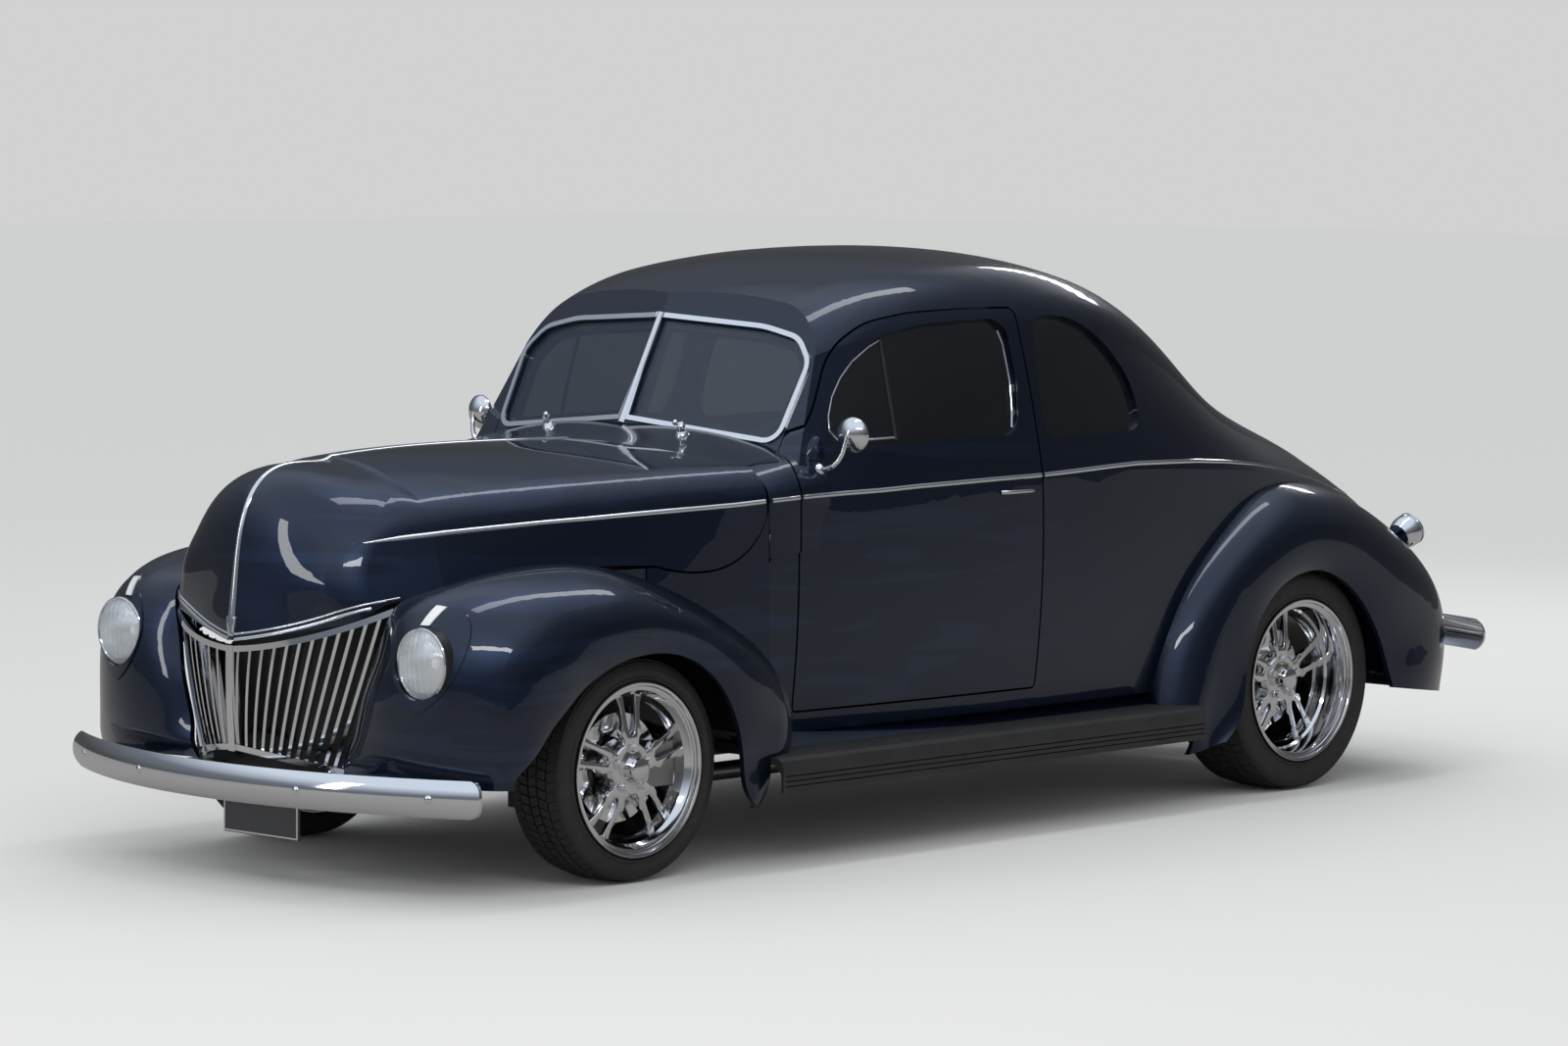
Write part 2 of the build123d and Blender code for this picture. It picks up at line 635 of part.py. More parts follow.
# Deck lid
with BuildPart() as deck_lid:
    add(tub.part)
    add(deck_prism(-PANEL_GAP / 2), mode=Mode.INTERSECT)
deck_lid.part.label = "deck_lid"
export_step(deck_lid.part, "parts/deck_lid.step")

# Hood, and the cowl's sides below its seam
nose_sheet = nose_skin()
with BuildPart() as hood:
    add(nose_sheet)
    add(cowl_cylinder(PANEL_GAP), mode=Mode.SUBTRACT)
    add(hood_seam_prism(PANEL_GAP / 2), mode=Mode.INTERSECT)
hood.part.label = "hood"
export_step(hood.part, "parts/hood.step")
with BuildPart() as cowl_sides:
    add(nose_sheet)
    add(box((COWL_REAR_X + 2, COWL_SIDE_FRONT_X), (-800, 800), (622, 1001)), mode=Mode.INTERSECT)
    add(hood_seam_prism(-PANEL_GAP / 2), mode=Mode.SUBTRACT)
    add(cowl_cylinder(SEAT_GAP), mode=Mode.SUBTRACT)
cowl_sides.part.label = "cowl_sides"
export_step(cowl_sides.part, "parts/cowl_sides.step")
def curve_point(curve, t):
    """A point on the parabola through three points, at t from 0 to 1."""
    start, middle, end = (Vector(*point) for point in curve)
    return start * ((1 - t) * (1 - 2 * t)) + middle * (4 * t * (1 - t)) + end * (t * (2 * t - 1))


def grille_bar(t, width):
    """An upright bar of the grille, at t from 0 at the prow to 1 at the side."""
    foot = curve_point(GRILLE_LOW, t)
    rise = curve_point(GRILLE_TOP, t) - foot
    run = curve_point(GRILLE_TOP, min(t + 0.02, 1)) - curve_point(GRILLE_TOP, t - 0.02)
    flat = Vector(run.X, run.Y, 0)
    plane = Plane(origin=foot, x_dir=rise, z_dir=flat - rise * (flat.dot(rise) / rise.dot(rise)))
    end, back = rise.length + 4, 2 - BAR_DEPTH
    with BuildPart() as form:
        with BuildSketch(plane):
            with BuildLine():
                ThreePointArc((-4, 2), (rise.length * 0.45, 9), (end, 2))
                Polyline((end, 2), (end, back), (-4, back), (-4, 2))
            make_face()
        extrude(amount=width / 2, both=True)
    return form.part


# Fenders, trimmed where they meet the body and the nose
nose_cutter = nose_loft(PANEL_GAP + 3)
lamp_bore = rod((1900, *LAMP_PLACE), (2450, *LAMP_PLACE), LAMP_R + 2 + SEAT_GAP)


def lamp_prism(outline):
    """A prism along the car over an outline in front view round the headlamp."""
    with BuildPart() as form:
        with BuildSketch(Plane(origin=(1950, 0, 0), x_dir=(0, 1, 0), z_dir=(1, 0, 0))):
            with BuildLine():
                if len(outline[0]) == 3:
                    for arc in outline:
                        ThreePointArc(*arc)
                else:
                    Polyline(*outline, close=True)
            make_face()
        extrude(amount=400)
    return form.part


front_skin = fender_loft(FRONT_FENDER_SECTIONS, FRONT_AXLE_X, FRONT_WHEEL["tyre_r"])
bezel_prism = lamp_prism(BEZEL_ARCS)
side_lamp_prism = lamp_prism(SIDE_LAMP)
with BuildPart() as trimmed_fender:
    add(front_skin)
    add(nose_cutter, mode=Mode.SUBTRACT)
    add(outer_form, mode=Mode.SUBTRACT)
    add(box((800, BOARD["x_front"] + 0.3), (650, 900), (100, BOARD["top"] + 0.3)), mode=Mode.SUBTRACT)
    add(bezel_prism, mode=Mode.SUBTRACT)
    add(side_lamp_prism, mode=Mode.SUBTRACT)
with BuildPart() as front_fender_left:
    add(trimmed_fender.part.solids().sort_by(SortBy.VOLUME)[-1])
with BuildPart() as rear_fender_left:
    add(fender_loft(REAR_FENDER_SECTIONS, REAR_AXLE_X, REAR_WHEEL["tyre_r"]))
    add(outer_form, mode=Mode.SUBTRACT)
    add(box((BOARD["x_rear"] - 0.3, -500), (650, 900), (100, BOARD["top"] + 0.3)), mode=Mode.SUBTRACT)
for name, fender in (("front_fender", front_fender_left), ("rear_fender", rear_fender_left)):
    fender.part.label = f"{name}_left"
    export_step(fender.part, f"parts/{name}_left.step")
    with BuildPart() as opposite:
        mirror(fender.part, about=Plane.XZ)
    opposite.part.label = f"{name}_right"
    export_step(opposite.part, f"parts/{name}_right.step")

# Teardrop bezels round the headlamps: the fender's own form, moved ahead to stand proud
with BuildPart() as headlamp_bezels:
    add(front_skin.moved(Location((BEZEL_RAISE, 0, 0))))
    add(bezel_prism, mode=Mode.INTERSECT)
    add(lamp_bore, mode=Mode.SUBTRACT)
    add(side_lamp_prism, mode=Mode.SUBTRACT)
    mirror(about=Plane.XZ)
headlamp_bezels.part.label = "headlamp_bezels"
export_step(headlamp_bezels.part, "parts/headlamp_bezels.step")

# Grille: upright bars between a top, a side and a bottom rail that follow the prow
with BuildPart() as grille:
    for curve, width, height in ((GRILLE_TOP, 22, 16), (GRILLE_LOW, 20, 16)):
        with BuildLine() as path:
            ThreePointArc(*curve)
        with BuildSketch(Plane(origin=path.line @ 0, x_dir=(1, 0, 0), z_dir=path.line % 0)):
            Rectangle(width, height)
        sweep(path=path.line)
    for bar in range(1, GRILLE_BARS + 2):
        add(grille_bar((bar - 0.5) / (GRILLE_BARS + 0.5), BAR_WIDTH if bar <= GRILLE_BARS else SIDE_BAR_WIDTH))
    with BuildSketch(Plane.XZ):
        with BuildLine():
            Polyline((2272, 360), (2304, 360), (2312, 500), (2312, 644), (2280, 644), (2278, 500), close=True)
        make_face()
    extrude(amount=13, both=True)
    mirror(about=Plane.XZ)
    for side in (1, -1):
        add(box((2085.3, 2166), (side * 236, side * 280), (300, 328)))
grille.part.label = "grille"
export_step(grille.part, "parts/grille.step")


def bumper_bar(spec, ahead):
    """A bent bumper bar with rounded ends: ahead is 1 at the front and -1 at the back."""
    bend, z = spec["bend_r"], spec["z"]
    half_turn = math.degrees(math.asin(spec["half"] / bend)) + 1
    axis_x = ahead * (spec["face_x"] - bend)
    tall, crown = BUMPER_HEIGHT / 2, BUMPER_CROWN
    start = math.radians(-half_turn if ahead > 0 else 180 - half_turn)
    outward = (math.cos(start), math.sin(start), 0)
    section_plane = Plane(origin=(axis_x, 0, z), x_dir=outward, z_dir=(math.sin(start), -math.cos(start), 0))
    with BuildPart() as form:
        with BuildSketch(section_plane):
            with BuildLine():
                ThreePointArc((bend - crown, -tall), (bend, 0), (bend - crown, tall))
                Line((bend - crown, tall), (bend - crown - BUMPER_WALL, tall - 4))
                inner = bend - BUMPER_WALL
                lip = bend - crown - BUMPER_WALL
                ThreePointArc((lip, tall - 4), (inner, 0), (lip, 4 - tall))
                Line((bend - crown - BUMPER_WALL, 4 - tall), (bend - crown, -tall))
            make_face()
        revolve(axis=Axis((axis_x, 0, z), (0, 0, 1)), revolution_arc=2 * half_turn)
        with BuildSketch(Plane.YZ.offset(-2500)):
            with Locations((0, z)):
                RectangleRounded(2 * spec["half"], BUMPER_HEIGHT + 2, 46)
        extrude(amount=5000, mode=Mode.INTERSECT)
    return form.part


def bumper_face(spec, y):
    """How far out the inner side of a bumper bar lies at y."""
    return spec["face_x"] - spec["bend_r"] + math.sqrt(spec["bend_r"] ** 2 - y**2) - BUMPER_WALL


# Bumpers with their arms
ARM_Y = (308, 352)
with BuildPart() as front_bumper:
    add(bumper_bar(FRONT_BUMPER, 1))
    for side in (1, -1):
        arm_x = (RAIL_FRONT_X + 0.3, bumper_face(FRONT_BUMPER, 352) + 1)
        add(box(arm_x, (side * ARM_Y[0], side * ARM_Y[1]), (FRONT_BUMPER["z"] - 28, FRONT_BUMPER["z"] + 12)))
front_bumper.part.label = "front_bumper"
export_step(front_bumper.part, "parts/front_bumper.step")
with BuildPart() as rear_bumper:
    add(bumper_bar(REAR_BUMPER, -1))
    for side in (1, -1):
        arm_x = (-bumper_face(REAR_BUMPER, 352) - 1, RAIL_REAR_X - 0.3)
        add(box(arm_x, (side * ARM_Y[0], side * ARM_Y[1]), (REAR_BUMPER["z"] - 42, REAR_BUMPER["z"] - 6)))
rear_bumper.part.label = "rear_bumper"
export_step(rear_bumper.part, "parts/rear_bumper.step")

# Blank number plate, hung below the front bumper on a stay
with BuildPart() as number_plate:
    add(box((2196, 2202), (-152, 152), (122, 226)))
    for side in (1, -1):
        add(box((2070.3, 2197), (side * 60, side * 84), (270, 282)))
        add(box((2184, 2197), (side * 60, side * 84), (196, 282)))
number_plate.part.label = "number_plate"
export_step(number_plate.part, "parts/number_plate.step")

# Headlamps: a bucket, a bezel that follows the fender, and a domed lens
with BuildPart() as side_lamp:
    add(front_skin.moved(Location((SIDE_LAMP_RAISE, 0, 0))))
    add(side_lamp_prism, mode=Mode.INTERSECT)
with BuildPart() as headlamps:
    lamp_origin = (1990, LAMP_PLACE[0], LAMP_PLACE[1])
    bucket = [(0, 0), (0, 60), (60, LAMP_R + 2), (LENS_X - 1990, LAMP_R + 2)]
    dome = [(LENS_X - 1990 + 2, LAMP_R - 2), (LENS_X - 1990 + 12, LAMP_R * 0.8), (LENS_X - 1990 + 20, LAMP_R * 0.45)]
    add(turned(bucket + dome + [(LENS_X - 1990 + 23, 0)], lamp_origin, (1, 0, 0)))
    add(side_lamp.part)
    mirror(about=Plane.XZ)
headlamps.part.label = "headlamps"
export_step(headlamps.part, "parts/headlamps.step")

# Tail lamps on the rear fenders
with BuildPart() as tail_lamps:
    lamp = [(0, 0), (0, 40), (30, 52), (62, 52), (74, 40), (80, 0)]
    add(turned(lamp, (-1968, 640, 735), (-0.92, 0.1, 0.38)))
    add(rear_fender_left.part, mode=Mode.SUBTRACT)
    mirror(about=Plane.XZ)
tail_lamps.part.label = "tail_lamps"
export_step(tail_lamps.part, "parts/tail_lamps.step")

# Running boards
with BuildPart() as running_boards:
    with BuildSketch(Plane.YZ.offset(BOARD["x_rear"])):
        edge, top, low = BOARD["y_out"], BOARD["top"], BOARD["low"]
        Polygon(
            (BOARD["y_in"], top), (edge - 26, top), (edge - 8, top - 10), (edge, top - 34), (edge, low),
            (edge - 8, low), (edge - 10, top - 44), (edge - 34, top - 20), (BOARD["y_in"], top - 14), align=None,
        )
    extrude(amount=BOARD["x_front"] - BOARD["x_rear"])
    for x in (760, 160, -440):
        add(box((x, x + 50), (358.3, edge - 30), (262, top - 16)))
    mirror(about=Plane.XZ)
running_boards.part.label = "running_boards"
export_step(running_boards.part, "parts/running_boards.step")

# Frame: two boxed rails that rise over the rear axle, and their crossmembers
with BuildPart() as chassis_frame:
    rail = [
        (RAIL_FRONT_X, 255), (RAIL_FRONT_X, RAIL_TOP), (-880, RAIL_TOP), (-1060, 515), (-1600, 515), (-1780, 462),
        (RAIL_REAR_X, 462), (RAIL_REAR_X, 374), (-1790, 374), (-1620, 432), (-1070, 432), (-900, 255),
    ]
    for side in (1, -1):
        y_from, y_to = side * (RAIL_Y - RAIL_WIDTH / 2), side * (RAIL_Y + RAIL_WIDTH / 2)
        add(side_prism(rail, y_from, y_to))
    inside = (2 - RAIL_Y, RAIL_Y - 2)
    add(box((1985, 2070), inside, (262, RAIL_TOP)))
    add(box((1465, 1555), inside, (215, 299.7)))
    for x in (300, -600):
        add(box((x, x + 70), inside, (212, 257)))
    add(box((-1120, -1060), inside, (440, 500)))
    add(box((-2060, -2000), inside, (385, 455)))
chassis_frame.part.label = "chassis_frame"
export_step(chassis_frame.part, "parts/chassis_frame.step")

# Engine and gearbox as plain blocks, with the driveshaft
with BuildPart() as engine:
    add(box((1120, 1780), (-270, 270), (300, 860)))
    add(box((520, 1121), (-110, 110), (262, 342)))
    add(rod((521, 0, 302), (-1190, 0, 322), 28))
engine.part.label = "engine"
export_step(engine.part, "parts/engine.step")
with BuildPart() as radiator:
    add(box((2000, 2050), (-285, 285), (RAIL_TOP + 0.3, 900)))
    add(box((2010, 2040), (-30, 30), (899, HOOD_REST_Z)))
radiator.part.label = "radiator"
export_step(radiator.part, "parts/radiator.step")

# Floor, firewall, rear bulkhead, shelf and wheel tubs, all cut to the inside of the body
with BuildPart() as floor_pan:
    floor = [
        (FIREWALL_X, FLOOR_Z), (FIREWALL_X, 1200), (FIREWALL_X - 10, 1200), (FIREWALL_X - 10, FLOOR_Z + 12),
        (-626, FLOOR_Z + 12), (-626, 992), (-1130, 992), (-1130, 982), (-638, 982), (-638, 540), (-880, 540),
        (-900, 532), (-2040, 532), (-2040, 520), (-880, 520), (-700, FLOOR_Z), (FIREWALL_X, FLOOR_Z),
    ]
    add(side_prism(floor[:-1], 800, -800))
    for side in (1, -1):
        with BuildSketch(side_plane(side * (REAR_ARCH_Y - 12))):
            with Locations((REAR_AXLE_X, REAR_WHEEL["tyre_r"])):
                Circle(REAR_ARCH_R + 12)
        extrude(amount=-side * 400)
        with BuildSketch(side_plane(side * REAR_ARCH_Y)):
            with Locations((REAR_AXLE_X, REAR_WHEEL["tyre_r"])):
                Circle(REAR_ARCH_R)
        extrude(amount=-side * 500, mode=Mode.SUBTRACT)
    add(box((-1900, -700), (-800, 800), (300, 519)), mode=Mode.SUBTRACT)
    add(inner_form, mode=Mode.INTERSECT)
floor_pan.part.label = "floor_pan"
export_step(floor_pan.part, "parts/floor_pan.step")

# Inside of the cab
with BuildPart() as dashboard:
    panel = [
        (604, 975), (640, 1066), (770, 1090), (931.7, 1090), (931.7, 1078), (770, 1078), (676, 1042), (644, 968),
    ]
    add(side_prism(panel, 590, -590))
    for side in (1, -1):
        add(box((700, 940), (side * 530, side * 600), (960, 1100)), mode=Mode.SUBTRACT)
    add(inner_form, mode=Mode.INTERSECT)
dashboard.part.label = "dashboard"
export_step(dashboard.part, "parts/dashboard.step")
with BuildPart() as seat:
    with BuildSketch(side_plane(560)):
        with BuildLine():
            Polyline((340, FLOOR_Z + 12.3), (-250, FLOOR_Z + 12.3), (-430, 1000))
            ThreePointArc((-430, 1000), (-390, 1050), (-330, 1030))
            Polyline((-330, 1030), (-190, 640), (310, 660))
            ThreePointArc((310, 660), (372, 620), (360, 550))
            Line((360, 550), (340, FLOOR_Z + 12.3))
        make_face()
    extrude(amount=1120)
seat.part.label = "seat"
export_step(seat.part, "parts/seat.step")
column = Vector(*COLUMN_LOW) - Vector(*COLUMN_TOP)
column_axis = column.normalized()
with BuildPart() as steering_column:
    add(rod(COLUMN_LOW, Vector(*COLUMN_TOP) + column_axis * 60, 22))
    bracket = [(610, 938), (640, 926), (640, 968.4), (610, 973.6)]
    add(side_prism(bracket, COLUMN_TOP[1] + 16, COLUMN_TOP[1] - 16))
    add(box((840, 931.7), (COLUMN_TOP[1] - 16, COLUMN_TOP[1] + 16), (770, 828)))
    add(rod(Vector(*COLUMN_LOW) + column_axis * 40, COLUMN_TOP, 10 + SEAT_GAP), mode=Mode.SUBTRACT)
steering_column.part.label = "steering_column"
export_step(steering_column.part, "parts/steering_column.step")
with BuildPart() as steering_wheel:
    wheel_plane = Plane(origin=COLUMN_TOP, x_dir=(0, 1, 0), z_dir=column_axis * -1)
    with BuildSketch(Plane(origin=COLUMN_TOP, x_dir=(0, 1, 0), z_dir=wheel_plane.y_dir * -1)):
        with Locations((STEERING_R, 0)):
            Circle(13)
    revolve(axis=Axis(COLUMN_TOP, column_axis))
    with BuildSketch(wheel_plane.offset(-14)):
        Circle(42)
    extrude(amount=34)
    with BuildSketch(wheel_plane.offset(-4)):
        with PolarLocations(0, 3, start_angle=90):
            with Locations((STEERING_R / 2, 0)):
                Rectangle(STEERING_R, 26)
    extrude(amount=8)
    add(rod(COLUMN_TOP, Vector(*COLUMN_LOW) - column_axis * 30, 10))
steering_wheel.part.label = "steering_wheel"
export_step(steering_wheel.part, "parts/steering_wheel.step")


def tyre_at(spec, x_axle):
    """A left-hand tyre at its place: flat tread, bulged walls and beads between the rim's lips."""
    half = spec["tyre_w"] / 2
    outer, flange = spec["tyre_r"], spec["rim_r"]
    bead = flange - 18
    wall = [(half - 11.6, bead), (half - 9.6, flange + 0.6), (half, (outer + bead) / 2), (half - 30, outer)]
    profile = wall + [(-along, radius) for along, radius in reversed(wall)]
    return turned(profile, (x_axle, spec["face_y"] - half, outer), (0, 1, 0))


def wheel_at(spec, x_axle):
    """A left-hand wheel at its place: rim, paired spokes, hub and brake disc."""
    half = spec["tyre_w"] / 2 - 2
    rim_r = spec["rim_r"]
    seat = rim_r - 18.6
    centre_y = spec["face_y"] - spec["tyre_w"] / 2
    axle = (x_axle, centre_y, spec["tyre_r"])
    spoke_y = spec["face_y"] - spec["dish"]
    barrel = [
        (-half, rim_r), (7 - half, rim_r), (9 - half, seat), (half - 9, seat), (half - 7, rim_r), (half, rim_r),
        (half, rim_r - 7), (half - 8, seat - 6), (8 - half, seat - 6), (-half, rim_r - 8),
    ]
    with BuildPart() as form:
        add(turned(barrel, axle, (0, 1, 0)))
        with BuildSketch(Plane(origin=(x_axle, spoke_y, spec["tyre_r"]), x_dir=(1, 0, 0), z_dir=(0, 1, 0))):
            Circle(LUG_CIRCLE_R + 22)
            with PolarLocations(0, SPOKE_PAIRS, start_angle=90):
                leg = [(46, 27), (84, 28), (98, 37), (111, 38), (122, 33), (165, 37), (seat, 50)]
                slot = [(seat, 27), (seat - 30, 20), (112, 13), (93, 7)]
                Polygon(*leg, *slot, *[(r, -s) for r, s in reversed(leg + slot)], align=None)
            Circle(seat - 3, mode=Mode.INTERSECT)
        extrude(amount=-26)
        hub = [(0, 0), (0, 36), (34, 36), (46, 28), (46, 0)]
        add(turned(hub, (x_axle, spoke_y - 2, spec["tyre_r"]), (0, 1, 0)))
        disc_y = spoke_y - 26 - 34
        disc = [(0, 0), (0, 150), (22, 150), (22, 76), (36, 76), (36, 0)]
        add(turned(disc, (x_axle, disc_y, spec["tyre_r"]), (0, 1, 0)))
        with BuildSketch(Plane(origin=(x_axle, disc_y - 1, spec["tyre_r"]), x_dir=(1, 0, 0), z_dir=(0, 1, 0))):
            Circle(SPINDLE_R + SEAT_GAP)
        extrude(amount=50, mode=Mode.SUBTRACT)
        with BuildSketch(Plane(origin=(x_axle, spoke_y - 1, spec["tyre_r"]), x_dir=(1, 0, 0), z_dir=(0, 1, 0))):
            with PolarLocations(LUG_CIRCLE_R, SPOKE_PAIRS, start_angle=90):
                RegularPolygon(radius=12, side_count=6)
        extrude(amount=14)
    return form.part


for axle_name, spec, axle_x in (("front", FRONT_WHEEL, FRONT_AXLE_X), ("rear", REAR_WHEEL, REAR_AXLE_X)):
    for form, kind in ((tyre_at(spec, axle_x), "tyre"), (wheel_at(spec, axle_x), "wheel")):
        form.label = f"{kind}_{axle_name}_left"
        export_step(form, f"parts/{kind}_{axle_name}_left.step")
        with BuildPart() as opposite:
            mirror(form, about=Plane.XZ)
        opposite.part.label = f"{kind}_{axle_name}_right"
        export_step(opposite.part, f"parts/{kind}_{axle_name}_right.step")

# Front knuckles: upright on the kingpin's line, spindle and brake caliper
front_disc_y = FRONT_WHEEL["face_y"] - FRONT_WHEEL["dish"] - 60
with BuildPart() as knuckle_left:
    axle_z = FRONT_WHEEL["tyre_r"]
    add(rod((FRONT_AXLE_X, KINGPIN_Y, 205), (FRONT_AXLE_X, KINGPIN_Y, 405), 20))
    add(rod((FRONT_AXLE_X, KINGPIN_Y, axle_z), (FRONT_AXLE_X, front_disc_y + 48, axle_z), SPINDLE_R))
    add(rod((FRONT_AXLE_X, KINGPIN_Y, axle_z), (FRONT_AXLE_X, front_disc_y - 6, axle_z), 30))
    add(box((FRONT_AXLE_X - 186, FRONT_AXLE_X - 90), (front_disc_y - 24, front_disc_y + 29), (axle_z - 60, axle_z + 60)))
    add(box((FRONT_AXLE_X - 120, FRONT_AXLE_X), (front_disc_y - 24, front_disc_y - 8), (axle_z - 40, axle_z + 40)))
    add(box((FRONT_AXLE_X - 160, FRONT_AXLE_X - 80), (front_disc_y - 4, front_disc_y + 26), (axle_z - 70, axle_z + 70)),
        mode=Mode.SUBTRACT)
knuckle_left.part.label = "knuckle_left"
export_step(knuckle_left.part, "parts/knuckle_left.step")
with BuildPart() as knuckle_right:
    mirror(knuckle_left.part, about=Plane.XZ)
knuckle_right.part.label = "knuckle_right"
export_step(knuckle_right.part, "parts/knuckle_right.step")

# Front suspension arms from the frame to the knuckles
with BuildPart() as front_suspension:
    for z in (204.5, 405.5):
        outward = 1 if z > 300 else -1
        plane = Plane.XY.offset(z)
        with BuildSketch(plane):
            Polygon(
                (FRONT_AXLE_X - 120, RAIL_Y + 28.3), (FRONT_AXLE_X + 120, RAIL_Y + 28.3),
                (FRONT_AXLE_X + 24, KINGPIN_Y + 20), (FRONT_AXLE_X - 24, KINGPIN_Y + 20), align=None,
            )
            Polygon(
                (FRONT_AXLE_X - 70, RAIL_Y + 54), (FRONT_AXLE_X + 70, RAIL_Y + 54),
                (FRONT_AXLE_X, KINGPIN_Y - 50), align=None, mode=Mode.SUBTRACT,
            )
        extrude(amount=outward * 22)
    for x in (-120, 96):
        add(box((FRONT_AXLE_X + x, FRONT_AXLE_X + x + 24), (RAIL_Y + 28.3, RAIL_Y + 52), (182.5, 427.5)))
    mirror(about=Plane.XZ)
front_suspension.part.label = "front_suspension"
export_step(front_suspension.part, "parts/front_suspension.step")

# Rear axle with its final drive and leaf springs
rear_disc_y = REAR_WHEEL["face_y"] - REAR_WHEEL["dish"] - 60
with BuildPart() as rear_axle:
    axle_z = REAR_WHEEL["tyre_r"]
    for side in (1, -1):
        add(rod((REAR_AXLE_X, 0, axle_z), (REAR_AXLE_X, side * (rear_disc_y - 6), axle_z), 38))
        add(rod((REAR_AXLE_X, 0, axle_z), (REAR_AXLE_X, side * (rear_disc_y + 48), axle_z), SPINDLE_R))
        spring = [(-812, 214), (-812, 238), (REAR_AXLE_X, 301), (-1858, 334), (-1858, 310), (REAR_AXLE_X, 277)]
        add(side_prism(spring, side * (RAIL_Y - 24), side * (RAIL_Y + 24)))
        add(box((-832, -800), (side * (RAIL_Y - 20), side * (RAIL_Y + 20)), (218, 254.7)))
        add(box((-1872, -1840), (side * (RAIL_Y - 20), side * (RAIL_Y + 20)), (312, 373.7)))
    add(turned([(-118, 0), (-118, 50), (-60, 128), (60, 128), (118, 50), (118, 0)], (REAR_AXLE_X, 0, axle_z), (0, 1, 0)))
rear_axle.part.label = "rear_axle"
export_step(rear_axle.part, "parts/rear_axle.step")

# Exhaust pipes and silencers under the floor, and the fuel tank
with BuildPart() as exhaust:
    z = 185
    for side in (1, -1):
        y = side * 225
        add(rod((1290, y, z), (-2200, y, z), 26.5))
        add(rod((-60, y, z), (-420, y, z), 58))
    for x in (-1150, -1980):
        add(box((x, x + 30), (-225, 225), (z - 8, z + 8)))
exhaust.part.label = "exhaust"
export_step(exhaust.part, "parts/exhaust.step")
with BuildPart() as fuel_tank:
    add(box((-1960, -1660), (-290, 290), (250, 384.7)))
fuel_tank.part.label = "fuel_tank"
export_step(fuel_tank.part, "parts/fuel_tank.step")
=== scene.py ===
"""A street rod coupe in deep blue metallic paint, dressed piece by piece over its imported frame."""

import bpy
import bmesh
import math
from mathutils import Matrix, Vector
from mathutils.bvhtree import BVHTree


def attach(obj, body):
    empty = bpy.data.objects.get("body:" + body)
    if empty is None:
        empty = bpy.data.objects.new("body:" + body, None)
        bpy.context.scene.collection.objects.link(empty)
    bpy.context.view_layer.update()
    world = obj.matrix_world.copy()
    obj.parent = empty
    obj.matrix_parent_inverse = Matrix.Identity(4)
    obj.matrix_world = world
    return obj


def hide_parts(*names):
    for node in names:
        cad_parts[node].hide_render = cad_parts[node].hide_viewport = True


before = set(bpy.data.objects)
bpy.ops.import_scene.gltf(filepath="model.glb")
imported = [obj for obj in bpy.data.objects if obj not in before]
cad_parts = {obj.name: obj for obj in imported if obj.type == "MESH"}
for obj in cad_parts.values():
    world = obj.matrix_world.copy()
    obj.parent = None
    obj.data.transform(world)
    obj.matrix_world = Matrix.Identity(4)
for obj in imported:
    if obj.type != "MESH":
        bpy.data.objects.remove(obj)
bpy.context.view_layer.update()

# The set: a wide, matt, pale floor under a sky that mirrors as a dark
# horizon with a pale zenith, and four long strip lamps, so that dark gloss
# paint and bright plate have edges to mirror.
scene = bpy.context.scene
scene.view_settings.view_transform = "Standard"


class Sock:
    """A shader value that can be used in Python sums."""

    def __init__(self, finish, socket):
        self.finish = finish
        self.socket = socket

    def __add__(self, other):
        return self.finish.node("ShaderNodeMath", {"operation": "ADD"}, self, other)

    __radd__ = __add__

    def __mul__(self, other):
        return self.finish.node("ShaderNodeMath", {"operation": "MULTIPLY"}, self, other)

    __rmul__ = __mul__


